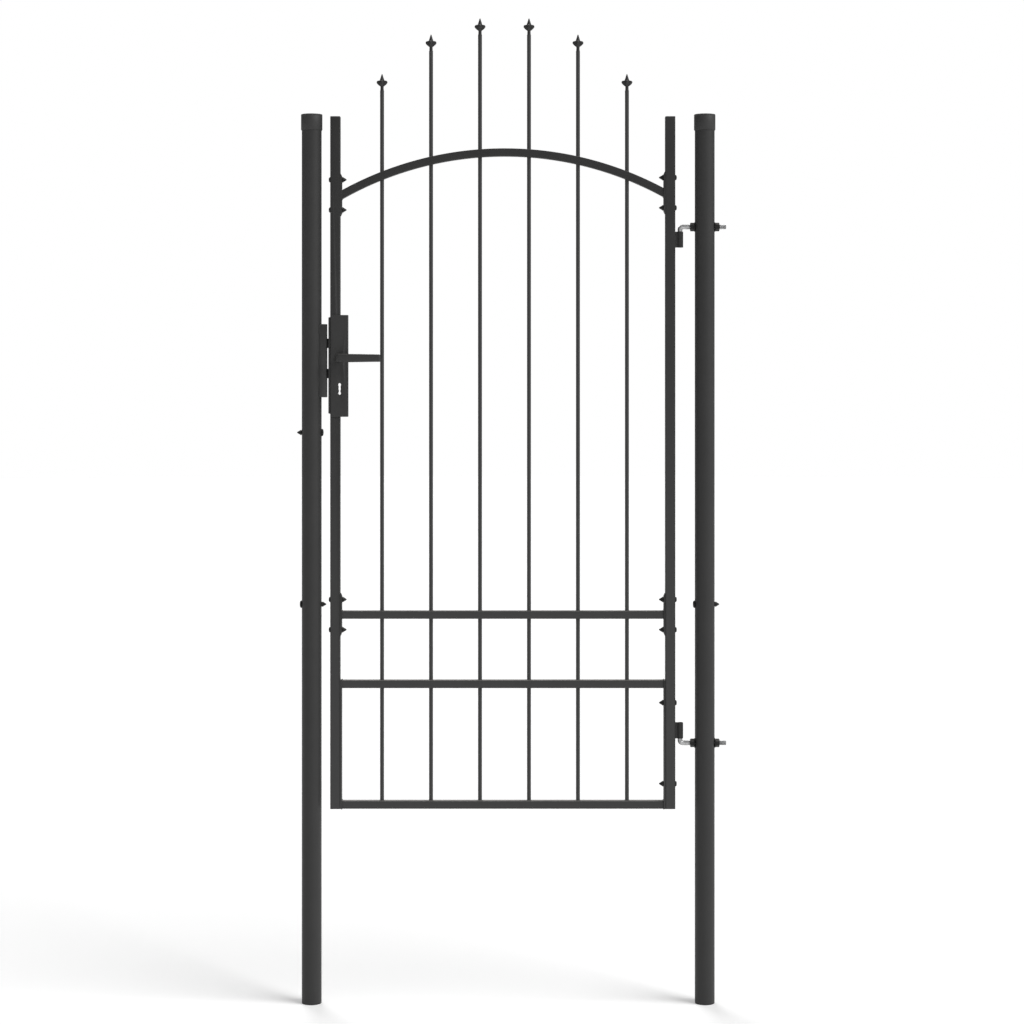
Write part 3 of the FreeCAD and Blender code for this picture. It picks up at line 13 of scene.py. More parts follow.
import bmesh
import bpy
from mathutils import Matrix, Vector


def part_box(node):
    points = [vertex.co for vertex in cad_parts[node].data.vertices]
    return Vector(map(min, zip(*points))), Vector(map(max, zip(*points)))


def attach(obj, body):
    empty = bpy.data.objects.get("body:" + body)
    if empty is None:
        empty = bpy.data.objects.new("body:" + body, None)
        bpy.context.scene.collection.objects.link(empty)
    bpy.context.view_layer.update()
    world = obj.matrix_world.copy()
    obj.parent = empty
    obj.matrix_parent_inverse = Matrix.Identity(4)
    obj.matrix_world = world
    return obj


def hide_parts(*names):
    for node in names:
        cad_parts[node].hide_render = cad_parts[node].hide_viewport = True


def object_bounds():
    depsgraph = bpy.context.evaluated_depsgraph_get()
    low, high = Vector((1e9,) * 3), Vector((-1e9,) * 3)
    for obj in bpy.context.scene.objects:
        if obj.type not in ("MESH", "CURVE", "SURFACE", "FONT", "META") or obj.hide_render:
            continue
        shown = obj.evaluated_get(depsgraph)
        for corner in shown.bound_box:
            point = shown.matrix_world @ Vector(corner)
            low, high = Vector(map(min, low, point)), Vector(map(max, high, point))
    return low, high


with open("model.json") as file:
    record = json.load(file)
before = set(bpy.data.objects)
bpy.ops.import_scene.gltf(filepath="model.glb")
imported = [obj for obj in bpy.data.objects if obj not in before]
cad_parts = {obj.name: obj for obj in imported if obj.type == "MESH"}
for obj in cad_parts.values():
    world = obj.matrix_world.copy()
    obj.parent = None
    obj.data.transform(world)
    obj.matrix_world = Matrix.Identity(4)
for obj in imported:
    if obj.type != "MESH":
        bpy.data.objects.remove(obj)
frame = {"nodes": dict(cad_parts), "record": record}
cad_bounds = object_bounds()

MM = 0.001
HANDS = ("latch", "hinge")
LEVELS = ("upper", "lower")
nodes = frame["nodes"]
scene = bpy.context.scene
overall = [round((b - a) / MM, 1) for a, b in zip(*cad_bounds)]
print(f"the gate and its posts measure {overall} mm over {len(nodes)} CAD nodes")

# %% [markdown]
# ## Writing nodes as sums
# A material, a node tree that makes geometry and the world's light are all graphs of nodes. They
# could be wired one link at a time, but then a simple sum takes a page. A `Wire` stands for one
# socket, and arithmetic on it adds the Math nodes, so a rule reads like the sum it is. `add` makes
# every other kind of node: its settings come first, because they decide which sockets it has.


# %% One class for a socket and one for a tree
class Wire:
    """A node's output socket, with arithmetic."""

    def __init__(self, graph, socket):
        self.graph = graph
        self.socket = socket

    def __getitem__(self, name):
        return Wire(self.graph, self.socket.node.outputs[name])

    def __add__(self, other):
        return self.graph.maths("ADD", self, other)

    def __mul__(self, other):
        return self.graph.maths("MULTIPLY", self, other)

    def __sub__(self, other):
        return self.graph.maths("SUBTRACT", self, other)

    def __rsub__(self, other):
        return self.graph.maths("SUBTRACT", other, self)

    def __truediv__(self, other):
        return self.graph.maths("DIVIDE", self, other)

    __radd__ = __add__
    __rmul__ = __mul__


class Graph:
    """A node tree that nodes are written into."""

    def __init__(self, tree):
        self.tree = tree

    def add(self, kind, settings=None, sockets=None, out=0):
        node = self.tree.nodes.new(kind)
        for name, value in (settings or {}).items():
            setattr(node, name, value)
        for name, value in (sockets or {}).items():
            self.feed(node.inputs[name], value)
        return Wire(self, node.outputs[out] if node.outputs else None)

    def feed(self, socket, value):
        if isinstance(value, Wire):
            self.tree.links.new(value.socket, socket)
        else:
            socket.default_value = value

    def maths(self, operation, *values):
        return self.add("ShaderNodeMath", {"operation": operation}, dict(enumerate(values)))


# %% [markdown]
# ## Finishes
# Everything here is made from Object coordinates in millimetres, so a pattern keeps its real size
# on a small screw and on a tall post, and stays on its part when the gate swings. Noise makes the
# uneven things: how thick the film lies, its orange peel, dust mixed with a painted sheen on upward
# faces, wear. Image textures could do the same, but a rule costs nothing, never repeats and has no
# seams.


# %% Helpers for finishes
def blank(name, **constants):
    """A new material with its shader's plain values set."""
    material = bpy.data.materials.new(name)
    material.use_nodes = True
    shader = material.node_tree.nodes["Principled BSDF"]
    for socket, value in constants.items():
        shader.inputs[socket.replace("_", " ")].default_value = value
    return material, Graph(material.node_tree), shader


def millimetres(graph):
    """The place on the part, in millimetres."""
    place = graph.add("ShaderNodeTexCoord")["Object"]
    return graph.add("ShaderNodeVectorMath", {"operation": "SCALE"}, {0: place, "Scale": 1 / MM})


def patches(graph, place, size, detail=2.0):
    """Smooth random patches of about that size in millimetres, from 0 to 1."""
    sockets = {"Vector": place, "Scale": 1 / size, "Detail": detail}
    return graph.add("ShaderNodeTexNoise", None, sockets)


def ramp(graph, value, start, end):
    """0 up to start, 1 from end, and a smooth rise between."""
    sockets = {"Value": value, "From Min": start, "From Max": end}
    return graph.add("ShaderNodeMapRange", {"interpolation_type": "SMOOTHSTEP"}, sockets)


def mixed(graph, share, first, second):
    """A colour between two others."""
    sockets = {0: share, 6: first, 7: second}
    return graph.add("ShaderNodeMix", {"data_type": "RGBA"}, sockets, out=2)


def grey(value, warmth=0.0):
    """A grey as a colour, a little warmer or cooler."""
    return (value * (1 + warmth), value, value * (1 - warmth), 1.0)


def surfaced(graph, shader, colour, roughness, height, depth):
    """Feeds the shader its colour, its roughness and a height map with its depth in mm."""
    graph.feed(shader.inputs["Base Color"], colour)
    graph.feed(shader.inputs["Roughness"], roughness)
    sockets = {"Height": height, "Distance": depth * MM, "Strength": 1.0}
    graph.feed(shader.inputs["Normal"], graph.add("ShaderNodeBump", None, sockets))


# %% [markdown]
# ### Coats on metal
# The tubes are powder coated: charcoal black powder is baked into a tough satin skin. It flows
# before it sets, which leaves orange peel, soft waves a millimetre or two across. The film pulls
# thin on sharp edges, which look a touch lighter, and faces that look up get a lighter grey that is
# partly fine dust and partly painted light from above. Lock furniture has a smoother enamel, and
# the bolts a thin black plating, so all three finishes come from one recipe with its own numbers.


# %% Powder coat, lock enamel and black hardware
COAT_GLARE = 0.26  # a matted film mirrors less than bare resin, which would be 0.5


def coated(name, shade, gloss, peel, depth, dust_and_sheen):
    """A dark coat on metal: shade, roughness, peel size and depth in mm, and share of dust and
    painted top sheen.
    """
    material, graph, shader = blank(name, Specular_IOR_Level=COAT_GLARE)
    place = millimetres(graph)
    surface = graph.add("ShaderNodeNewGeometry")
    film = patches(graph, place, 60, 3)
    peel_waves = patches(graph, place, peel)
    flecks = patches(graph, place, 0.35)
    upward = graph.add("ShaderNodeSeparateXYZ", None, {"Vector": surface["Normal"]})["Z"]
    # faces that look up turn a lighter warm grey: partly settled dust, partly painted light from
    # above
    settled_dust_and_sheen = ramp(graph, upward, 0.55, 0.98) * (0.45 + 0.75 * patches(graph, place, 14, 4)) * dust_and_sheen
    thin = ramp(graph, surface["Pointiness"], 0.53, 0.62) * 0.5
    body = mixed(graph, 0.6 * film + 0.4 * flecks, grey(0.72 * shade), grey(1.28 * shade, 0.01))
    edged = mixed(graph, thin, body, grey(2.6 * shade))
    dusted_and_sheened = mixed(graph, settled_dust_and_sheen, edged, grey(0.3, 0.05))
    roughness = gloss + 0.1 * film - 0.06 * thin + 0.3 * settled_dust_and_sheen
    surfaced(graph, shader, dusted_and_sheened, roughness, peel_waves + 0.15 * flecks, depth)
    return material


COATS = [
    # slot, name, shade, roughness, peel size, peel depth, dust and painted top sheen
    ("powder_coat", "powder_coat", 0.024, 0.46, 1.8, 0.014, 0.6),
    ("lock_paint", "lock_enamel", 0.032, 0.38, 3.5, 0.012, 0.3),
    ("black_hardware", "black_hardware", 0.008, 0.42, 0.9, 0.02, 0.3),
]
finishes = {slot: coated(*recipe) for slot, *recipe in COATS}
print(f"coats made: {sorted(finishes)}")

# %% [markdown]
# ### Moulded plastic
# Post caps and tube plugs are black polyethylene from a spark-eroded mould, which leaves an even
# fine grain. Voronoi cells give that pebbled look. Its black is a little greyer than the coat's
# and its gloss broader.

# %% Black plastic
PEBBLE = 0.7
plastic, graph, shader = blank("black_plastic", Specular_IOR_Level=0.4)
place = millimetres(graph)
sockets = {"Vector": place, "Scale": 1 / PEBBLE}
pebbles = graph.add("ShaderNodeTexVoronoi", None, sockets)["Distance"]
flow = patches(graph, place, 25, 3)
colour = mixed(graph, flow, grey(0.024), grey(0.034, 0.01))
grain = pebbles + 0.3 * patches(graph, place, 4)
surfaced(graph, shader, colour, 0.5 + 0.12 * flow + 0.05 * pebbles, grain, 0.03)
finishes["black_plastic"] = plastic

# %% [markdown]
# ### Zinc and bare steel
# The hinge bolts are galvanised. Zinc freezes in flat crystals, the spangle, each with its own
# grey, and it dulls in patches. The lock's inner parts are plain steel, rolled in one direction
# and wiped with oil. Both are metals, so their colour is in the reflection.

# %% Galvanised zinc and oiled steel
SPANGLE = 3.2
zinc, graph, shader = blank("galvanised_zinc", Metallic=0.9)
place = millimetres(graph)
spangle = graph.add("ShaderNodeTexVoronoi", None, {"Vector": place, "Scale": 1 / SPANGLE})
crystal = graph.add("ShaderNodeSeparateColor", None, {"Color": spangle["Color"]})
dull = ramp(graph, patches(graph, place, 9, 4), 0.42, 0.7)
bright = mixed(graph, crystal, grey(0.42), grey(0.6, -0.01))
colour = mixed(graph, 0.6 * dull, bright, grey(0.3, -0.01))
grain = patches(graph, place, 0.8, 3) + 0.4 * crystal
surfaced(graph, shader, colour, 0.34 + 0.22 * dull + 0.08 * crystal, grain, 0.03)
finishes["zinc"] = zinc

steel, graph, shader = blank("oiled_steel", Metallic=0.95)
place = millimetres(graph)
stretched = graph.add("ShaderNodeMapping", None, {"Vector": place, "Scale": (6.0, 6.0, 0.12)})
rolled = patches(graph, stretched, 1, 3)
oil = patches(graph, place, 12, 3)
colour = mixed(graph, oil, grey(0.22, 0.02), grey(0.34))
surfaced(graph, shader, colour, 0.3 + 0.15 * rolled + 0.12 * oil, rolled, 0.01)
finishes["lock_steel"] = steel
print(f"finishes: {sorted(finishes)}")

# %% [markdown]
# ## Handing pieces over
# Each finished piece needs four things: a finish, smooth shading that still breaks at real edges,
# a body to move with, and the names of the CAD nodes that it stands for. `baked` turns a piece
# with its modifiers into a plain mesh, because the model that leaves here has no modifiers.


# %% Helpers for pieces
def new_piece(name, mesh):
    """An object for a mesh, placed in the scene as it is."""
    piece = bpy.data.objects.new(name, mesh)
    scene.collection.objects.link(piece)
    return piece


def baked(piece):
    """Applies a piece's modifiers and makes its faces point outwards."""
    depsgraph = bpy.context.evaluated_depsgraph_get()
    result = bpy.data.meshes.new_from_object(piece.evaluated_get(depsgraph), depsgraph=depsgraph)
    piece.modifiers.clear()
    skin = bmesh.new()
    skin.from_mesh(result)
    bmesh.ops.recalc_face_normals(skin, faces=skin.faces)
    skin.to_mesh(result)
    skin.free()
    piece.data = result
    return piece


def hand_over(piece, body, slot, *stands_for, break_angle=38):
    """Gives a piece its finish and body, and hides the CAD nodes it stands for."""
    piece.data.materials.clear()
    piece.data.materials.append(finishes[slot])
    piece.data.shade_smooth()
    piece.data.set_sharp_from_angle(angle=math.radians(break_angle))
    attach(piece, body)
    if stands_for:
        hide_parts(*stands_for)
    print(f"{piece.name}: {len(piece.data.polygons)} faces on {body}")


# %% [markdown]
# ## Turned shapes
# Posts, caps, washers, bolt heads and nuts are all round about an axis. A lathe makes them: a list
# of radii and heights is swept in a circle. Blender's Screw modifier does this too, but writing
# the rings allows a shape to change on the way round, which a hexagon nut and a four-lobed
# spear point need.


# %% The lathe
def turned(profile, sides, shape=None, hollow=False):
    """A skin about the Z axis through (radius, height) rings, in millimetres."""
    skin = bmesh.new()
    rings = []
    for radius, height in profile:
        if radius == 0:
            rings.append([skin.verts.new((0, 0, height * MM))])
            continue
        ring = []
        for step in range(sides):
            angle = math.tau * step / sides
            r, z = shape(angle, radius, height) if shape else (radius, height)
            x, y = r * math.cos(angle), r * math.sin(angle)
            ring.append(skin.verts.new((x * MM, y * MM, z * MM)))
        rings.append(ring)
    pairs = list(zip(rings, rings[1:]))
    if hollow:
        pairs.append((rings[-1], rings[0]))
    for low, high in pairs:
        for step in range(0 if len(low) == len(high) == 1 else sides):
            after = (step + 1) % sides
            corners = [low[step % len(low)], low[after % len(low)]]
            corners += [high[after % len(high)], high[step % len(high)]]
            skin.faces.new(list(dict.fromkeys(corners)))
    bmesh.ops.recalc_face_normals(skin, faces=skin.faces)
    return skin


def from_skin(name, skin, move=(0, 0, 0)):
    """Turns a skin into an object, and moves the mesh, not the object."""
    bmesh.ops.translate(skin, vec=Vector(move), verts=skin.verts)
    mesh = bpy.data.meshes.new(name)
    skin.to_mesh(mesh)
    skin.free()
    return new_piece(name, mesh)


def arc(centre, radius, start, end, steps):
    """Points on an arc, with angles in degrees."""
    angles = [math.radians(start + (end - start) * i / steps) for i in range(steps + 1)]
    return [(centre[0] + radius * math.cos(a), centre[1] + radius * math.sin(a)) for a in angles]


# %% [markdown]
# ## Posts and caps
# A post is 50 mm round tube with a 1.5 mm wall, sawn square and left open at its foot. The cap is
# a push-on moulding: a skirt with a chamfered mouth, a crowned top with a small radius and a faint
# parting ring under it, and a step inside that sits on the tube's end. Both are turned with 96
# sides, so that their outlines stay round from close by.

# %% Turn the posts and their caps
POST_WALL = 1.5
POST_SIDES = 96
SAW_BREAK = 0.4
CAP_SHOULDER = 1.7
CAP_CROWN = 0.4
CAP_RING = 5.2
CAP_CHAMFER = 1.6
CAP_GAP = 0.15
for side in HANDS:
    low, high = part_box(f"{side}_post")
    centre = (low + high) / 2
    radius = (high.x - low.x) / 2 / MM
    height = (high.z - low.z) / MM
    bore = radius - POST_WALL
    tube = [
        (bore, SAW_BREAK), (bore + SAW_BREAK, 0), (radius - SAW_BREAK, 0), (radius, SAW_BREAK),
        (radius, height - SAW_BREAK), (radius - SAW_BREAK, height), (bore + SAW_BREAK, height),
        (bore, height - SAW_BREAK),
    ]
    skin = turned(tube, POST_SIDES, hollow=True)
    post = from_skin(f"{side}_post_tube", skin, (centre.x, 0, low.z))
    hand_over(post, "posts", "powder_coat", f"{side}_post")

    cap_low, cap_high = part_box(f"{side}_post_cap")
    outer = (cap_high.x - cap_low.x) / 2 / MM
    top = (cap_high.z - cap_low.z) / MM
    seat = height - cap_low.z / MM
    ring_height = top - CAP_RING
    inner = radius + CAP_GAP
    cap = [(inner, 0.8), (inner + 0.3, 0), (outer - 1.0, 0), (outer, CAP_CHAMFER)]
    cap += [(outer, ring_height - 0.5), (outer - 0.22, ring_height), (outer, ring_height + 0.5)]
    corner = (outer - CAP_SHOULDER, top - CAP_CROWN - CAP_SHOULDER)
    cap += arc(corner, CAP_SHOULDER, 0, 84, 6)
    cap += [((outer - 6) * share, top - CAP_CROWN * share * share) for share in (0.9, 0.6, 0.3)]
    cap += [(0, top), (0, seat), (inner, seat)]
    skin = turned(cap, POST_SIDES, hollow=True)
    moulding = from_skin(f"{side}_post_cap_moulding", skin, (centre.x, 0, cap_low.z))
    hand_over(moulding, "posts", "black_plastic", f"{side}_post_cap")

# %% [markdown]
# ## Plates, tubes and mouldings with the CAD's own outline
# Many parts are right as the CAD has them and only lack the small radius that every real edge
# has, which is what catches the light. A copy of the CAD mesh is welded into one skin, its flat
# faces are joined, and its sharp edges are rounded by the width that its process leaves: little
# on sawn tube, more on a bent sheet. Weighted normals then keep the flat faces flat.


# %% Rounded copies of CAD parts
def welded_copy(node):
    """A CAD node's mesh as one skin with its flat faces joined."""
    skin = bmesh.new()
    skin.from_mesh(nodes[node].data)
    bmesh.ops.remove_doubles(skin, verts=skin.verts, dist=0.001 * MM)
    bmesh.ops.dissolve_limit(
        skin, angle_limit=math.radians(0.6), verts=skin.verts, edges=skin.edges
    )
    return skin


def rounded(node, name, body, slot, edge, steps=3):
    """Hands over a copy of a CAD node with its sharp edges rounded, in millimetres."""
    piece = from_skin(name, welded_copy(node))
    bevel = piece.modifiers.new("edge", "BEVEL")
    bevel.width = edge * MM
    bevel.segments = steps
    bevel.limit_method = "ANGLE"
    bevel.angle_limit = math.radians(45)
    bevel.use_clamp_overlap = True
    weights = piece.modifiers.new("flat faces", "WEIGHTED_NORMAL")
    weights.keep_sharp = True
    hand_over(baked(piece), body, slot, node)


PAIRED = [
    # CAD node, piece, the two it comes in, finish, edge radius
    ("{}_stile", "{}_side_tube", HANDS, "powder_coat", 0.3),
    ("{}_stile_plug", "{}_tube_plug", HANDS, "black_plastic", 0.7),
    ("arch_{}_plate", "arch_{}_end_plate", HANDS, "powder_coat", 0.6),
    ("rail_{}_plate", "rail_{}_end_plate", HANDS, "powder_coat", 0.6),
    ("{}_side_flat", "{}_side_strip", HANDS, "powder_coat", 0.6),
    ("{}_hinge_barrel", "{}_hinge_eye", LEVELS, "powder_coat", 0.6),
]
SINGLE = [
    # CAD node, piece, body, finish, edge radius
    ("lock_housing", "lock_box", "leaf", "powder_coat", 0.6),
    ("keeper", "keeper_channel", "posts", "powder_coat", 1.0),
    ("forend", "lock_face_plate", "leaf", "lock_paint", 0.5),
    ("front_lock_plate", "front_cover_plate", "leaf", "lock_paint", 0.35),
    ("back_lock_plate", "back_cover_plate", "leaf", "lock_paint", 0.35),
    # the latch tongue and lock bolt take the near-black hardware finish as painted shade of the gap
    # between the lock box and the keeper
    ("latch_bolt", "latch_tongue", "latch", "black_hardware", 0.6),
    ("deadbolt", "lock_bolt", "dead_bolt", "black_hardware", 0.6),
]
for node, name, words, slot, edge in PAIRED:
    for word in words:
        rounded(node.format(word), name.format(word), "leaf", slot, edge)
for part in SINGLE:
    rounded(*part)

# %% [markdown]
# ## Trees that grow parts
# Geometry Nodes suit whatever repeats or follows a path. `new_tree` opens a group with named
# inputs, and `close_tree` ends it the same way each time: copies become real geometry and the
# finish goes on. `grown` runs a tree on a mesh of edges or points and keeps the plain result.


# %% Open, close and run a tree
def new_tree(name, **inputs):
    """A Geometry Nodes group: its graph and the node that brings its inputs in."""
    tree = bpy.data.node_groups.new(name, "GeometryNodeTree")
    tree.interface.new_socket("Geometry", in_out="INPUT", socket_type="NodeSocketGeometry")
    tree.interface.new_socket("Geometry", in_out="OUTPUT", socket_type="NodeSocketGeometry")
    for label, kind in {**inputs, "Finish": "Material"}.items():
        label = label.replace("_", " ")
        tree.interface.new_socket(label, in_out="INPUT", socket_type="NodeSocket" + kind)
    graph = Graph(tree)
    return graph, graph.add("NodeGroupInput")


def close_tree(graph, inlet, shape):
    """Ends a tree with real geometry that carries its finish."""
    real = graph.add("GeometryNodeRealizeInstances", None, {"Geometry": shape})
    sockets = {"Geometry": real, "Material": inlet["Finish"]}
    done = graph.add("GeometryNodeSetMaterial", None, sockets)
    graph.add("NodeGroupOutput", None, {"Geometry": done})
    return graph.tree


def grown(name, tree, base, slot, **inputs):
    """Runs a tree on a base mesh and returns the piece as a plain mesh."""
    piece = new_piece(name, base)
    modifier = piece.modifiers.new(tree.name, "NODES")
    modifier.node_group = tree
    values = {label.replace("_", " "): value for label, value in inputs.items()}
    values["Finish"] = finishes[slot]
    for socket in tree.interface.items_tree:
        if socket.name in values:
            modifier[socket.identifier] = values[socket.name]
    return baked(piece)


def lines_mesh(name, lines, closed=False, **widths):
    """Runs of points as a mesh of edges, with a number on each point where asked."""
    points = [point for line in lines for point in line]
    edges = []
    first = 0
    for line in lines:
        edges += [(first + i, first + i + 1) for i in range(len(line) - 1)]
        if closed:
            edges.append((first + len(line) - 1, first))
        first += len(line)
    mesh = bpy.data.meshes.new(name)
    mesh.from_pydata(points, edges, [])
    for label, values in widths.items():
        mesh.attributes.new(label, "FLOAT", "POINT").data.foreach_set("value", values)
    return mesh


# %% [markdown]
# ## Cross tubes and the arch
# The arch is the gate's leading line, a 20 mm square tube rolled to one even radius, and the
# three rails under it are the same tube left straight. One tree makes all four: it takes a path
# and sweeps a square with rounded corners along it. The arch's ends are sawn upright to meet
# their end plates, although the tube arrives there on a slope, so the tree slides whatever lies
# beyond a plate back along the slope until it lies on the plate.

# %% The tree for square tube
graph, inlet = new_tree(
    "square tube on a path", Side="Float", Corner="Float",
    Low_end="Float", High_end="Float", Slope="Float",
)
line = graph.add("GeometryNodeMeshToCurve", None, {"Mesh": inlet})
square = graph.add(
    "GeometryNodeCurvePrimitiveQuadrilateral", None,
    {"Width": inlet["Side"], "Height": inlet["Side"]},
)
section = graph.add(
    "GeometryNodeFilletCurve", {"mode": "POLY"},
    {"Curve": square, "Count": 4, "Radius": inlet["Corner"]},
)
swept = graph.add(
    "GeometryNodeCurveToMesh", None, {"Curve": line, "Profile Curve": section, "Fill Caps": True}
)
here = graph.add("ShaderNodeSeparateXYZ", None, {"Vector": graph.add("GeometryNodeInputPosition")})
below = graph.maths("MINIMUM", here["X"] - inlet["Low end"], 0.0)
above = graph.maths("MAXIMUM", here["X"] - inlet["High end"], 0.0)
slide = graph.add(
    "ShaderNodeCombineXYZ", None, {"X": 0.0 - below - above, "Z": (above - below) * inlet["Slope"]}
)
trimmed = graph.add("GeometryNodeSetPosition", None, {"Geometry": swept, "Offset": slide})
tube_tree = close_tree(graph, inlet, trimmed)

# %% The arch's circle
low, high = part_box("arch_rail")
tube_side = high.y - low.y
crown = high.z - tube_side / 2
springs = [sum(v.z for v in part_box(f"arch_{hand}_plate")) / 2 for hand in HANDS]
drops = [crown - spring for spring in springs]
# The circle through both ends and up to the crown: its middle is moved until it fits.
arch_middle = (low.x + high.x) / 2
for _ in range(40):
    reaches = [arch_middle - low.x, high.x - arch_middle]
    radii = [(reach ** 2 + drop ** 2) / (2 * drop) for reach, drop in zip(reaches, drops)]
    arch_middle += (radii[1] - radii[0]) * 0.1
arch_radius = sum(radii) / 2
arch_centre = crown - arch_radius
half_angle = math.asin((high.x - low.x) / 2 / arch_radius)
overshoot = math.radians(1.5)  # the path runs a little past both plates


def arch_height(x, offset=0.0):
    """How high the arch's centreline, or a line beside it, is at that x."""
    return arch_centre + math.sqrt((arch_radius + offset) ** 2 - (x - arch_middle) ** 2)


down = " and ".join(f"{drop / MM:.0f}" for drop in drops)
print(f"arch radius {arch_radius / MM:.0f} mm, its ends {down} mm down")

# %% Rails and arch
TUBE_CORNER = 2.0
ARCH_STEPS = 96


def cross_tube(name, node, path, side, slope):
    """Hands over a square tube along a path, cut upright where the CAD node ends."""
    low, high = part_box(node)
    tube = grown(
        name, tube_tree, lines_mesh(name, [path]), "powder_coat", Side=side,
        Corner=TUBE_CORNER * MM, Low_end=low.x, High_end=high.x, Slope=slope,
    )
    hand_over(tube, "leaf", "powder_coat", node)


reach = half_angle + overshoot
sweep = [reach * (2 * i / ARCH_STEPS - 1) for i in range(ARCH_STEPS + 1)]
points = [
    (arch_middle + arch_radius * math.sin(a), 0, arch_centre + arch_radius * math.cos(a))
    for a in sweep
]
cross_tube("arch_tube", "arch_rail", points, tube_side, math.tan(half_angle))
RAILS = ("bottom_rail", "lower_rail", "upper_rail")
for rail in RAILS:
    low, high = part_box(rail)
    z = (low.z + high.z) / 2
    path = [(low.x, 0, z), (high.x, 0, z)]
    cross_tube(rail.replace("rail", "cross_tube"), rail, path, high.z - low.z, 0.0)

# %% [markdown]
# ## Round bars
# Six 10 mm bars stand on the bottom rail and pass up through the others. They are cut to three
# lengths, in pairs about the middle, so that their points trace a rounder arch over the rolled
# one. A bar is a circle swept along a line, so the tree below takes lines and gives bars. It
# reads a girth from each point of its lines, because the hinge bolts use it too and they have
# a shoulder.


# %% The tree for round bar
def round_sweep(graph, inlet, curve, girth):
    """A round section swept along a curve, with the girth at each point as its radius."""
    sockets = {"Resolution": inlet["Sides"], "Radius": 1.0}
    circle = graph.add("GeometryNodeCurvePrimitiveCircle", None, sockets)
    sockets = {"Curve": curve, "Profile Curve": circle, "Scale": girth, "Fill Caps": True}
    return graph.add("GeometryNodeCurveToMesh", None, sockets)


graph, inlet = new_tree("round bar on a path", Sides="Int")
line = graph.add("GeometryNodeMeshToCurve", None, {"Mesh": inlet})
girth = graph.add("GeometryNodeInputNamedAttribute", {"data_type": "FLOAT"}, {"Name": "girth"})
bar_tree = close_tree(graph, inlet, round_sweep(graph, inlet, line, girth))

# %% Six bars
pickets = [f"picket_{i}" for i in range(1, 7)]
lines, girths = [], []
for picket in pickets:
    low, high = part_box(picket)
    x, radius = (low.x + high.x) / 2, (high.x - low.x) / 2
    lines.append([(x, 0, low.z), (x, 0, high.z)])
    girths += [radius, radius]
base = lines_mesh("bars", lines, girth=girths)
bars = grown("round_bars", bar_tree, base, "powder_coat", Sides=28)
hand_over(bars, "leaf", "powder_coat", *pickets)
bar_radius = radius
bar_x = [line[0][0] for line in lines]
print(f"bars {round(2 * bar_radius / MM)} mm thick, {round((bar_x[1] - bar_x[0]) / MM)} mm apart")

# %% [markdown]
# ## Copies on points
# Spear points, bolts, nuts, washers and screws come in numbers. Each kind is shaped once, and a
# tree places it on points. A point carries the direction its copy faces, and the copy's own Z
# axis is turned to it. The points come from the CAD: a node that holds several loose solids is
# taken apart, and each solid's box says where its copy belongs.

# %% The tree for copies, and where they go
graph, inlet = new_tree("copies on points", Kind="Object")
facing = graph.add(
    "GeometryNodeInputNamedAttribute", {"data_type": "FLOAT_VECTOR"}, {"Name": "facing"}
)
aimed = graph.add("FunctionNodeAlignRotationToVector", {"axis": "Z"}, {"Vector": facing})
kind = graph.add("GeometryNodeObjectInfo", None, {"Object": inlet["Kind"]})["Geometry"]
copies = graph.add(
    "GeometryNodeInstanceOnPoints", None, {"Points": inlet, "Instance": kind, "Rotation": aimed}
)
copy_tree = close_tree(graph, inlet, copies)


def copied(name, skin, spots, body, slot, *stands_for):
    """Hands over copies of a skin on spots, each a point and the direction to face."""
    pattern = from_skin(f"{name}_pattern", skin)
    base = lines_mesh(name, [[place] for place, _ in spots])
    facing = base.attributes.new("facing", "FLOAT_VECTOR", "POINT")
    facing.data.foreach_set("vector", [number for _, aim in spots for number in aim])
    piece = grown(name, copy_tree, base, slot, Kind=pattern)
    bpy.data.objects.remove(pattern)
    hand_over(piece, body, slot, *stands_for)


def solids(node):
    """The box of each loose solid in a CAD node."""
    skin = welded_copy(node)
    boxes, seen = [], set()
    for seed in skin.verts:
        if seed in seen:
            continue
        seen.add(seed)
        found = [seed]
        for vert in found:
            for other in (edge.other_vert(vert) for edge in vert.link_edges):
                if other not in seen:
                    seen.add(other)
                    found.append(other)
        columns = list(zip(*(vert.co for vert in found)))
        boxes.append((Vector(map(min, columns)), Vector(map(max, columns))))
    skin.free()
    return boxes


# %% [markdown]
# ## Spear points
# Each bar ends in a small casting: a slim spear over a collar of four rounded lobes, and a neck
# that is welded to the bar. The lathe makes it with a rule for the radius: the lobes swell where
# the cosine of twice the angle is large, and only near the collar's height. They are round above
# and run down to the thin neck below, with soft valleys between.

# %% One spear point, six times
low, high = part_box("finial_1")
LENGTH = (high.z - low.z) / MM
REACH = (high.x - low.x) / 2 / MM
COLLAR_DROP = 22.3
LOBE_TOP = 5.8
LOBE_FOOT = 9.6
PETAL = 2.2
CORE = 6.1
NECK = bar_radius / MM - 0.3


def petals(angle, radius, height):
    """Adds the four lobes to the core's radius."""
    level = height + COLLAR_DROP
    level /= LOBE_TOP if level > 0 else LOBE_FOOT
    if abs(level) >= 1:
        return radius, height
    swell = (1 - level ** 4) ** 0.5 if level > 0 else 1 - (-level) ** 1.3
    petal = abs(math.cos(2 * angle)) ** PETAL
    return radius + (REACH - radius) * petal * swell, height


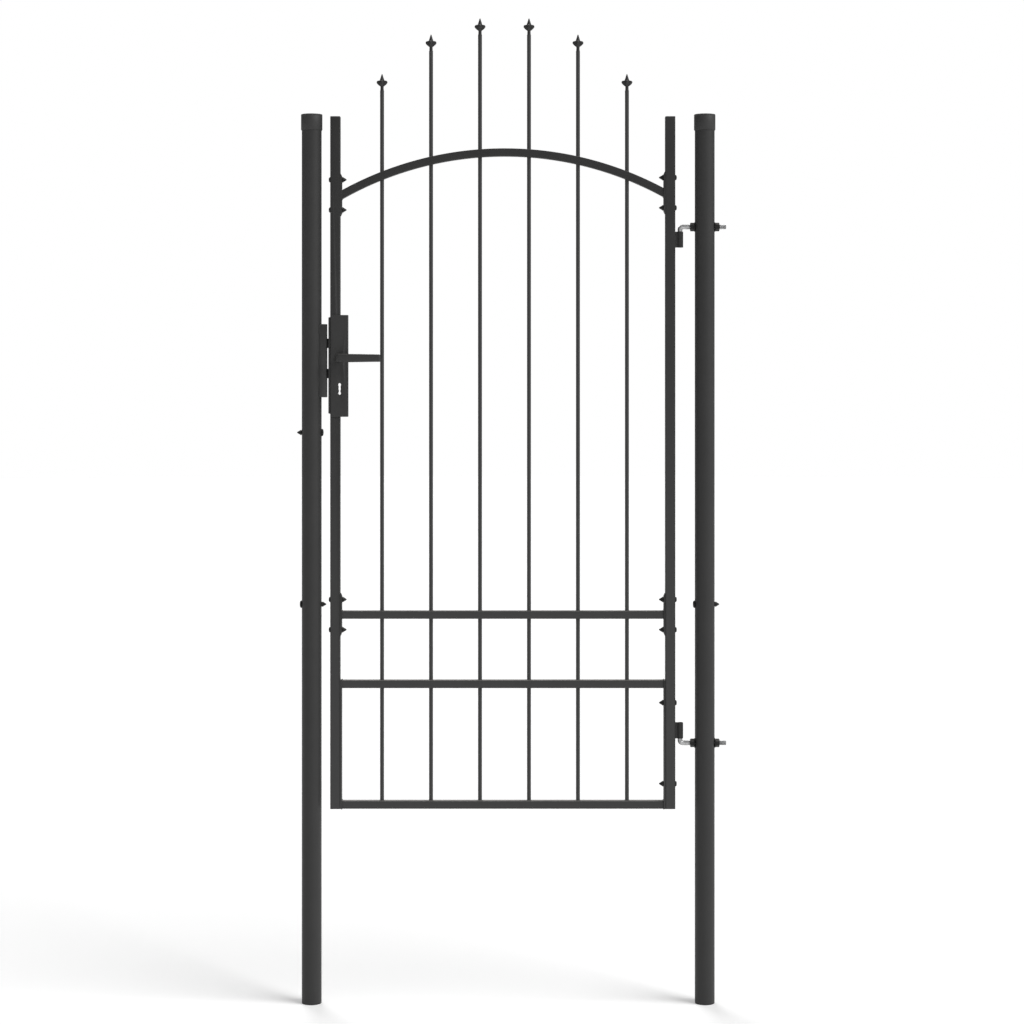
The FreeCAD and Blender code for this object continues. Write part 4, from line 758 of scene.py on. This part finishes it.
core = [(0, 0), (0.8, -0.5), (1.8, -3), (3.1, -7.5), (4.7, -12.5), (5.8, -15.6), (6.0, -16.4)]
core += [(CORE, -COLLAR_DROP + LOBE_TOP * math.cos(math.pi * i / 16)) for i in range(1, 9)]
core += [(CORE - 0.25 * i, -COLLAR_DROP - LOBE_FOOT * i / 8) for i in range(1, 9)]
core += [(4.1, -34), (4.1, -37.5), (4.3, -40), (NECK, -42.5)]
core += [(NECK + 0.2, -LENGTH + 1.4), (NECK + 0.6, -LENGTH + 0.9), (NECK + 0.6, -LENGTH + 0.2)]
core += [(NECK, -LENGTH), (0, -LENGTH)]
finials = [f"finial_{i}" for i in range(1, 7)]
spots = []
for finial in finials:
    low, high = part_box(finial)
    spots.append((((low.x + high.x) / 2, 0, high.z), (0, 0, 1)))
copied("spear_points", turned(core, 64, petals), spots, "leaf", "powder_coat", *finials)

# %% [markdown]
# ## Bolts and nuts
# The leaf is bolted through its side tubes with round-headed M6 bolts and pointed cap nuts, and
# larger ones of the same kind cross the posts. A cap nut is a hexagon with its corners taken off
# at 30 degrees, and a cone over it. On the lathe that is one more rule: out to the flats the
# radius is the nut's own, and beyond them it follows the hexagon and the corners drop.


# %% Shapes for heads and nuts
def hexagon(flats, bottom, top):
    """A rule that turns rings wider than the flats into a hexagon with cut corners."""

    def shape(angle, radius, height):
        if radius < flats / 2:
            return radius, height
        corner = (angle + math.pi / 6) % (math.pi / 3) - math.pi / 6
        side_radius = flats / 2 / math.cos(math.pi / 6 - abs(corner))
        drop = (side_radius - flats / 2) * math.tan(math.radians(30))
        middle = (bottom + top) / 2
        return side_radius, height - drop if height > middle else height + drop

    return shape


def round_head(width, dome, shank, length):
    """A domed head under z = 0 with its shank upwards."""
    steps = [math.pi / 2 * i / 12 for i in range(1, 12)]
    cap = [(width / 2 * math.sin(a) ** 0.75, -dome * math.cos(a) ** 0.65) for a in steps]
    profile = [(0, -dome)] + cap + [(width / 2, -0.25), (width / 2 - 0.3, 0)]
    profile += [(shank / 2, 0), (shank / 2, length - 0.8), (shank / 2 - 0.8, length), (0, length)]
    return turned(profile, 48)


def cap_nut(flats, rim, cone):
    """A pointed cap nut on z = 0, with its point upwards."""
    waist = flats / 2 - 0.35
    profile = [(0, 0), (waist, 0), (flats / 2, 0.15), (flats / 2, rim - 0.15), (waist, rim)]
    profile += [(waist - 0.4, rim + 0.1 * cone), (0.72 * waist, rim + 0.38 * cone)]
    profile += [(0.4 * waist, rim + 0.76 * cone), (1.4, rim + 0.93 * cone)]
    profile += [(0.8, rim + 0.99 * cone), (0, rim + cone)]
    return turned(profile, 48, hexagon(flats, 0, rim))


def joined_spots(bolt_node, nut_node, dome):
    """Seats for heads and nuts: each head faces the nearest nut on its own level."""
    nuts = solids(nut_node)
    heads, ends = [], []
    for low, high in solids(bolt_node):
        centre = (low + high) / 2
        near = min(nuts, key=lambda box: ((box[0] + box[1]) / 2 - centre).length)
        way = 1 if (near[0].x + near[1].x) / 2 > centre.x else -1
        head_x = low.x + dome * MM if way > 0 else high.x - dome * MM
        nut_x = near[0].x if way > 0 else near[1].x
        heads.append(((head_x, 0, centre.z), (way, 0, 0)))
        ends.append(((nut_x, 0, centre.z), (way, 0, 0)))
    return heads, ends


# %% Bolts through the side tubes and through the posts
FASTENERS = [
    # body, bolts, nuts, head, dome, shank, length, nut across corners, rim, cone
    ("leaf", "frame_bolts", "frame_bolt_nuts", 13.6, 4.4, 6.0, 33.5, 14.0, 4.0, 7.8),
    ("posts", "post_bolts", "post_bolt_nuts", 18.8, 5.0, 8.0, 53.0, 12.7, 5.0, 7.0),
]
for body, bolts, nuts, width, dome, shank, length, across, rim, cone in FASTENERS:
    heads, ends = joined_spots(bolts, nuts, dome)
    bolt = round_head(width, dome, shank, length)
    nut = cap_nut(across * math.cos(math.pi / 6), rim, cone)
    copied(f"{bolts}_domed", bolt, heads, body, "black_hardware", bolts)
    copied(f"{nuts}_pointed", nut, ends, body, "black_hardware", nuts)
    print(f"{bolts}: {len(heads)} bolts, head {width} mm")

# %% [markdown]
# ## Hinge bolts
# Each hinge is a rod bent to an L: its pin drops into an eye on the leaf, and its long arm goes
# through the post between two nuts, which set the gap. The arm is threaded nearly from the bend
# to its end. A thread could be a texture, but its outline shows against the light, so it is real:
# a flat grid is rolled round the arm, and each point's radius follows a triangle wave that slips
# one pitch for each turn. The grid's seam and its two ends are then welded shut.

# %% The tree for a screw thread
graph, inlet = new_tree(
    "screw thread", Start="Float", Level="Float", Length="Float", Radius="Float",
    Pitch="Float", Depth="Float", Rows="Int", Sides="Int",
)
sockets = {"Size X": 1.0, "Size Y": 1.0, "Vertices X": inlet["Rows"], "Vertices Y": inlet["Sides"]}
grid = graph.add("GeometryNodeMeshGrid", None, sockets)
flat = graph.add("ShaderNodeSeparateXYZ", None, {"Vector": graph.add("GeometryNodeInputPosition")})
along = flat["X"] + 0.5
turn = flat["Y"] + 0.5
distance = along * inlet["Length"]
left_over = inlet["Length"] - distance
phase = graph.maths("FRACT", distance / inlet["Pitch"] - turn)
wave = graph.maths("ABSOLUTE", 2 * phase - 1)
crest = graph.maths("MINIMUM", graph.maths("MAXIMUM", 1.35 * wave - 0.15, 0.0), 1.0)
run_out = graph.maths("MINIMUM", distance / (2 * inlet["Pitch"]), 1.0)
groove = (1 - crest) * inlet["Depth"] * run_out
chamfer = graph.maths("MAXIMUM", 1.2 * inlet["Depth"] - left_over, 0.0)
open_end = graph.maths("GREATER_THAN", along, 1e-5) * graph.maths("LESS_THAN", along, 1 - 1e-5)
radius = (inlet["Radius"] - graph.maths("MAXIMUM", groove, chamfer)) * open_end
angle = turn * math.tau
rolled = graph.add("ShaderNodeCombineXYZ", None, {
    "X": inlet["Start"] + distance,
    "Y": radius * graph.maths("COSINE", angle),
    "Z": inlet["Level"] + radius * graph.maths("SINE", angle),
})
thread = graph.add("GeometryNodeSetPosition", None, {"Geometry": grid, "Position": rolled})
welded = graph.add("GeometryNodeMergeByDistance", None, {"Geometry": thread, "Distance": 0.00001})
thread_tree = close_tree(graph, inlet, welded)


# %% Two L-shaped hinge bolts
def added(piece, other):
    """Adds another piece's mesh to a piece."""
    skin = bmesh.new()
    skin.from_mesh(piece.data)
    skin.from_mesh(other.data)
    skin.to_mesh(piece.data)
    skin.free()
    bpy.data.objects.remove(other)
    return piece


ROD_BEND = 7.0
PIN_STEP = 1.0
PIN_TAPER = 0.8
THREAD_PITCH = 1.75
THREAD_START = 20.0
for place in LEVELS:
    low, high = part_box(f"{place}_hinge_bolt")
    eye_low, eye_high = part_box(f"{place}_hinge_barrel")
    rod = (high.y - low.y) / 2
    axis_x = low.x + rod
    down = place == "upper"
    level = high.z - rod if down else low.z + rod
    way = -1 if down else 1
    shoulder = eye_high.z + 0.2 * MM if down else eye_low.z - 0.2 * MM
    tip = low.z if down else high.z
    bend = ROD_BEND * MM
    heights = (tip, tip - way * PIN_TAPER * MM, shoulder, shoulder - way * 0.3 * MM)
    outline = [(axis_x, height) for height in heights]
    pin = rod - PIN_STEP * MM
    girths = [pin - PIN_TAPER * MM, pin, pin, rod]
    corner = (axis_x + bend, level + way * bend)
    outline += arc(corner, bend, 180, 90 if down else 270, 10)
    start = axis_x + THREAD_START * MM
    outline.append((start, level))
    girths += [rod] * (len(outline) - len(girths))
    base = lines_mesh("rod", [[(x, 0, z) for x, z in outline]], girth=girths)
    rod_piece = grown(f"{place}_hinge_rod", bar_tree, base, "zinc", Sides=32)
    length = high.x - start
    threads = grown(
        f"{place}_thread", thread_tree, bpy.data.meshes.new("thread"), "zinc", Start=start,
        Level=level, Length=length, Radius=rod, Pitch=THREAD_PITCH * MM,
        Depth=0.6 * THREAD_PITCH * MM, Rows=round(length / (THREAD_PITCH * MM) * 8), Sides=29,
    )
    added(rod_piece, threads)
    hand_over(rod_piece, "posts", "zinc", f"{place}_hinge_bolt", break_angle=50)


# %% Hexagon nuts and washers on the hinge bolts
def on_rods(name, skin, boxes, node):
    """Copies of a skin on the hinge bolts, one at each box."""
    spots = [((low.x, 0, (low.z + high.z) / 2), (1, 0, 0)) for low, high in boxes]
    copied(name, skin, spots, "posts", "black_hardware", node)


BORE = 6.1
boxes = solids("hinge_nuts")
low, high = boxes[-1]
flats = (high.y - low.y) / MM
thick = (high.x - low.x) / MM
profile = [
    (BORE, 0.6), (BORE + 0.8, 0), (flats / 2 - 0.5, 0), (flats / 2, 0.2),
    (flats / 2, thick - 0.2), (flats / 2 - 0.5, thick), (BORE + 0.8, thick), (BORE, thick - 0.6),
]
skin = turned(profile, 48, hexagon(flats, 0, thick), hollow=True)
on_rods("hexagon_nuts", skin, boxes, "hinge_nuts")

boxes = solids("hinge_washers")
low, high = boxes[-1]
outer = (high.y - low.y) / 2 / MM
thick = (high.x - low.x) / MM
profile = [(BORE + 0.3, 0), (outer - 0.4, 0), (outer, 0.4), (outer, thick - 0.4)]
profile += [(outer - 0.4, thick), (BORE + 0.3, thick)]
on_rods("washers", turned(profile, 56, hollow=True), boxes, "hinge_washers")

# %% [markdown]
# ## Lever handles
# The handles are castings: a round neck on the spindle swells into a flat arm at a soft bend. A
# lofted skin follows that well. Each ring is a superellipse, a shape between a circle and a
# rectangle, and its size and squareness change along the way. The back handle is the front one
# mirrored, so its faces are turned the right way round again.

# %% The rings of a lever
RING = 40
ARM_THICK = 12.0
BEND = 6.8
LEVER_NECK = 7.9
LEVER_CHAMFER = 0.5
HEEL_WIDTH = 8.5
HEEL_HEIGHT = 10.4
TIP_ROUND = 5.0


def superellipse(centre, across, half_width, half_height, power):
    """A ring about a centre; across is the level direction that its width runs in."""
    ring = []
    for step in range(RING):
        angle = math.tau * step / RING
        c, s = math.cos(angle), math.sin(angle)
        w = math.copysign(abs(c) ** (2 / power), c) * half_width
        h = math.copysign(abs(s) ** (2 / power), s) * half_height
        ring.append(Vector((centre[0] + across[0] * w, centre[1] + across[1] * w, h)))
    return ring


def lever_rings(start, reach, tip, root, end):
    """Rings from the plate to the tip: x from the spindle, y outwards, in millimetres."""
    arm_y = reach - ARM_THICK / 2
    turn_y = arm_y - BEND
    foot = start + LEVER_CHAMFER
    rings = [
        superellipse((0, start), (1, 0), LEVER_NECK - 0.7, LEVER_NECK - 0.7, 2),
        superellipse((0, foot), (1, 0), LEVER_NECK, LEVER_NECK, 2),
    ]
    for i in range(1, 9):
        share = i / 8
        soft = share * share * (3 - 2 * share)
        width = LEVER_NECK + (HEEL_WIDTH - LEVER_NECK) * soft
        height = LEVER_NECK + (HEEL_HEIGHT - LEVER_NECK) * soft
        centre = (0, foot + (turn_y - foot) * share)
        rings.append(superellipse(centre, (1, 0), width, height, 2 + 1.6 * soft))
    for i in range(1, 9):
        share = i / 8
        angle = math.pi / 2 * share
        centre = (BEND - BEND * math.cos(angle), turn_y + BEND * math.sin(angle))
        across = (math.cos(angle), -math.sin(angle))
        width = HEEL_WIDTH - (HEEL_WIDTH - ARM_THICK / 2) * share
        height = HEEL_HEIGHT + (root / 2 - HEEL_HEIGHT) * share
        rings.append(superellipse(centre, across, width, height, 3.6 + 0.4 * share))
    for i in range(1, 13):
        share = i / 12
        centre = (BEND + (tip - TIP_ROUND - BEND) * share, arm_y)
        height = root / 2 + (end - root) / 2 * share
        rings.append(superellipse(centre, (0, -1), ARM_THICK / 2, height, 4.0))
    for i in range(1, 7):
        angle = math.pi / 2 * i / 6
        centre = (tip - TIP_ROUND + TIP_ROUND * math.sin(angle), arm_y)
        shrink = 1 - math.cos(angle)
        width = ARM_THICK / 2 - 4.2 * shrink
        height = end / 2 - TIP_ROUND * shrink
        rings.append(superellipse(centre, (0, -1), width, height, 4 - shrink))
    return rings


# %% Loft the two levers
spindle_low, spindle_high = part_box("spindle")
spindle_x = (spindle_low.x + spindle_high.x) / 2
spindle_z = (spindle_low.z + spindle_high.z) / 2
for node, way in (("front_handle", -1), ("back_handle", 1)):
    low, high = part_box(node)
    far = max(abs(low.y), abs(high.y)) / MM
    near = min(abs(low.y), abs(high.y)) / MM
    height = (high.z - low.z) / MM
    rings = lever_rings(near, far, (high.x - spindle_x) / MM, height, 0.87 * height)
    skin = bmesh.new()
    loops = [
        [skin.verts.new((spindle_x + v.x * MM, way * v.y * MM, spindle_z + v.z * MM)) for v in ring]
        for ring in rings
    ]
    for inner, outer_ring in zip(loops, loops[1:]):
        for step in range(RING):
            after = (step + 1) % RING
            skin.faces.new((inner[step], inner[after], outer_ring[after], outer_ring[step]))
    skin.faces.new(loops[0])
    skin.faces.new(loops[-1])
    bmesh.ops.recalc_face_normals(skin, faces=skin.faces)
    lever = from_skin(f"{node}_lever", skin)
    finer = lever.modifiers.new("finer", "SUBSURF")
    finer.levels = 1
    finer.render_levels = 1
    hand_over(baked(lever), "handle", "lock_paint", node, break_angle=60)

# %% [markdown]
# ## Lock screws
# Countersunk screws hold the face plate and the cover plates. Only their heads show, each with a
# cross recess. The recess is cut from one turned head with a Boolean, and the same head is copied
# to all four places.


# %% One countersunk screw, cut and copied
def screw_skin(head, shank, length):
    """A countersunk screw whose face is on z = 0 and whose shank points down."""
    profile = [(0, 0), (head / 2 - 0.15, 0), (head / 2, -0.15), (head / 2, -0.3)]
    profile += [(shank / 2, -0.3 - (head - shank) / 2), (shank / 2, -length), (0, -length)]
    piece = from_skin("screw_blank", turned(profile, 32))
    arms = bmesh.new()
    for wide, deep in ((0.28 * head, 0.055 * head), (0.055 * head, 0.28 * head)):
        block = bmesh.ops.create_cube(arms, size=2 * MM)["verts"]
        bmesh.ops.scale(arms, vec=(wide, deep, 0.9), verts=block)
    blade = from_skin("driver_blade", arms)
    recess = piece.modifiers.new("recess", "BOOLEAN")
    recess.operation = "DIFFERENCE"
    recess.solver = "EXACT"
    recess.use_self = True
    recess.object = blade
    baked(piece)
    skin = bmesh.new()
    skin.from_mesh(piece.data)
    bpy.data.objects.remove(piece)
    bpy.data.objects.remove(blade)
    return skin


SCREW_HEAD = 9.0
SCREW_SHANK = 4.0
SCREWS = [
    ("forend_screws", "face_plate_screws", "x"),
    ("lock_plate_screws", "cover_plate_screws", "y"),
]
for node, name, axis in SCREWS:
    spots = []
    for low, high in solids(node):
        centre = (low + high) / 2
        if axis == "x":
            spots.append(((low.x, centre.y, centre.z), (-1, 0, 0)))
            length = (high.x - low.x) / MM
        else:
            spots.append(((centre.x, high.y, centre.z), (0, 1, 0)))
            length = (high.y - low.y) / MM
    skin = screw_skin(SCREW_HEAD, SCREW_SHANK, length)
    copied(name, skin, spots, "leaf", "lock_steel", node)

# %% [markdown]
# ## Weld beads
# The cross tubes are welded to their end plates, the hinge eyes to the side tube, the keeper to
# its post, and each bar to the tubes that it crosses. A bead is a row of small overlapping pools
# that the coat softens. Here a line follows each joint, and the tree sweeps a round section along
# it whose size rises and falls once for each pool, with a little noise so that no two are alike.

# %% The tree for weld beads
graph, inlet = new_tree("weld bead", Radius="Float", Pool="Float", Sides="Int")
line = graph.add("GeometryNodeMeshToCurve", None, {"Mesh": inlet})
sockets = {"Curve": line, "Length": inlet["Pool"] / 4}
fine = graph.add("GeometryNodeResampleCurve", {"mode": "LENGTH"}, sockets)
travelled = graph.add("GeometryNodeSplineParameter")["Length"]
pools = graph.maths("ABSOLUTE", graph.maths("SINE", travelled / inlet["Pool"] * math.pi))
place = graph.add("GeometryNodeInputPosition")
uneven = graph.add("ShaderNodeTexNoise", None, {"Vector": place, "Scale": 260.0, "Detail": 1.0})
size = inlet["Radius"] * (0.74 + 0.16 * pools + 0.2 * uneven)
bead_tree = close_tree(graph, inlet, round_sweep(graph, inlet, fine, size))


# %% Helpers for welds
def beads(name, lines, radius, pool, sides, closed=False):
    """Weld beads along lines, with the bead's radius and pool length in millimetres."""
    return grown(
        name, bead_tree, lines_mesh(name, lines, closed=closed), "powder_coat",
        Radius=radius * MM, Pool=pool * MM, Sides=sides,
    )


def loop_at(x, height, half_width, half_height):
    """A rectangle about a tube's end, on the plane of its plate."""
    corners = [(-1, -1), (1, -1), (1, 1), (-1, 1)]
    return [(x, a * half_width, height + b * half_height) for a, b in corners]


def ring_at(x, radius, height_at):
    """A ring about a bar, on a surface whose height depends on x."""
    ring = []
    for step in range(16):
        angle = math.tau * step / 16
        px = x + radius * math.cos(angle)
        ring.append((px, radius * math.sin(angle), height_at(px)))
    return ring


# %% Welds on the leaf
loops = []
for rail in RAILS:
    low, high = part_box(rail)
    half = (high.z - low.z) / 2
    for x in (low.x, high.x):
        loops.append(loop_at(x, low.z + half, high.y, half))
low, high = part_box("arch_rail")
for x in (low.x, high.x):
    loops.append(loop_at(x, arch_height(x), high.y, tube_side / 2 / math.cos(half_angle)))
welds = beads("frame_welds", loops, 1.7, 3.2, 10, closed=True)

EYE_WELD = 5.2 * MM
seams = []
for place in LEVELS:
    low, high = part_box(f"{place}_hinge_barrel")
    seam_x = low.x + 0.3 * MM
    for y in (-EYE_WELD, EYE_WELD):
        seams.append([(seam_x, y, low.z + 2 * MM), (seam_x, y, high.z - 2 * MM)])
added(welds, beads("eye_welds", seams, 2.0, 3.2, 10))

rings = []
for x in bar_x:
    for rail in RAILS:
        low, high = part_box(rail)
        rings.append(ring_at(x, bar_radius, lambda px, z=high.z: z))
        if rail != "bottom_rail":
            rings.append(ring_at(x, bar_radius, lambda px, z=low.z: z))
    for offset in (tube_side / 2, -tube_side / 2):
        rings.append(ring_at(x, bar_radius, lambda px, o=offset: arch_height(px, o)))
added(welds, beads("bar_welds", rings, 1.1, 2.2, 6, closed=True))
hand_over(welds, "leaf", "powder_coat", break_angle=80)

# %% Welds on the keeper
STITCH = 24 * MM
STITCH_INSET = 3 * MM
low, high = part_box("keeper")
post_low, post_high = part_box("latch_post")
post_radius = (post_high.x - post_low.x) / 2
post_x = (post_high.x + post_low.x) / 2
seam_x = post_x + math.sqrt(post_radius ** 2 - high.y ** 2) + 0.4 * MM
starts = (low.z + STITCH_INSET, (low.z + high.z - STITCH) / 2, high.z - STITCH_INSET - STITCH)
seams = [[(seam_x, y, z), (seam_x, y, z + STITCH)] for y in (low.y, high.y) for z in starts]
keeper_welds = beads("keeper_welds", seams, 1.9, 3.2, 10)
hand_over(keeper_welds, "posts", "powder_coat", break_angle=80)

# %% [markdown]
# ## Parts that stay as the CAD has them
# The lock's case, its lid, the spring, the spindle, the follower and the grub screws are right as
# they are and mostly out of sight. They only need their metal.

# %% Finish the CAD parts that still show
slot_of = {part["node"]: part["material_slot"] for part in frame["record"]["subparts"]}
for name, node in nodes.items():
    if not node.hide_render:
        for holder in node.material_slots:
            holder.material = finishes[slot_of[name]]
        print(f"{name} keeps its CAD shape")

# %% [markdown]
# ## The studio
# The gate stands on a plain pale floor in front of white. A broad soft light high on the right
# gives the round posts their shape, and a second one behind lights the upper faces of the rails.
# The room fills the rest, and is darker behind the gate than in front of it, so that the sides
# of the round posts go dark. The camera looks level from eye height, six metres away, and the
# lens is shifted down a little so that the whole gate is in the picture.

# %% Floor and light
floor_skin = bmesh.new()
bmesh.ops.create_circle(floor_skin, cap_ends=True, segments=96, radius=30)
floor = from_skin("studio_floor", floor_skin)
matt = {"Roughness": 0.9, "Specular_IOR_Level": 0.1, "Emission_Strength": 0.08}
pale, graph, shader = blank("pale_floor", **matt)
tint = patches(graph, millimetres(graph), 900, 2)
graph.feed(shader.inputs["Base Color"], mixed(graph, tint, grey(0.95), grey(0.97)))
floor.data.materials.append(pale)

world = bpy.data.worlds.new("studio")
world.use_nodes = True
scene.world = world
background = world.node_tree.nodes["Background"]
graph = Graph(world.node_tree)
seen = graph.add("ShaderNodeLightPath")["Is Camera Ray"]
way = graph.add("ShaderNodeTexCoord")["Generated"]
towards = graph.add("ShaderNodeSeparateXYZ", None, {"Vector": way})
ROOM = 0.4
BEHIND = 0.08  # a share of the room's light
lit = ROOM * (1.0 - (1.0 - BEHIND) * ramp(graph, towards["Y"], 0.1, 0.8))
graph.feed(background.inputs["Color"], (1.0, 1.0, 1.0, 1.0))
graph.feed(background.inputs["Strength"], lit + (1.0 - lit) * seen)

SUNS = [
    # name, the way to it, strength, spread in degrees
    ("key", (0.8, -0.42, 0.75), 2.4, 40),
    ("rim", (-0.25, 0.8, 0.5), 1.3, 30),
]
for name, source, strength, spread in SUNS:
    lamp = bpy.data.lights.new(name, "SUN")
    lamp.energy = strength
    lamp.angle = math.radians(spread)
    light = bpy.data.objects.new(name, lamp)
    light.rotation_euler = Vector(source).to_track_quat("Z", "Y").to_euler()
    scene.collection.objects.link(light)

# %% Camera
camera_data = bpy.data.cameras.new("catalogue_view")
camera_data.lens = 83.33
camera_data.sensor_width = 36
camera_data.shift_y = -0.1379  # the gate fills the picture, and the camera stays level
camera = bpy.data.objects.new("catalogue_view", camera_data)
camera.location = (0.0096, -6.0015, 1.6)
camera.rotation_euler = (math.radians(90), 0, 0)
scene.collection.objects.link(camera)
scene.camera = camera
scene.view_settings.view_transform = "Standard"
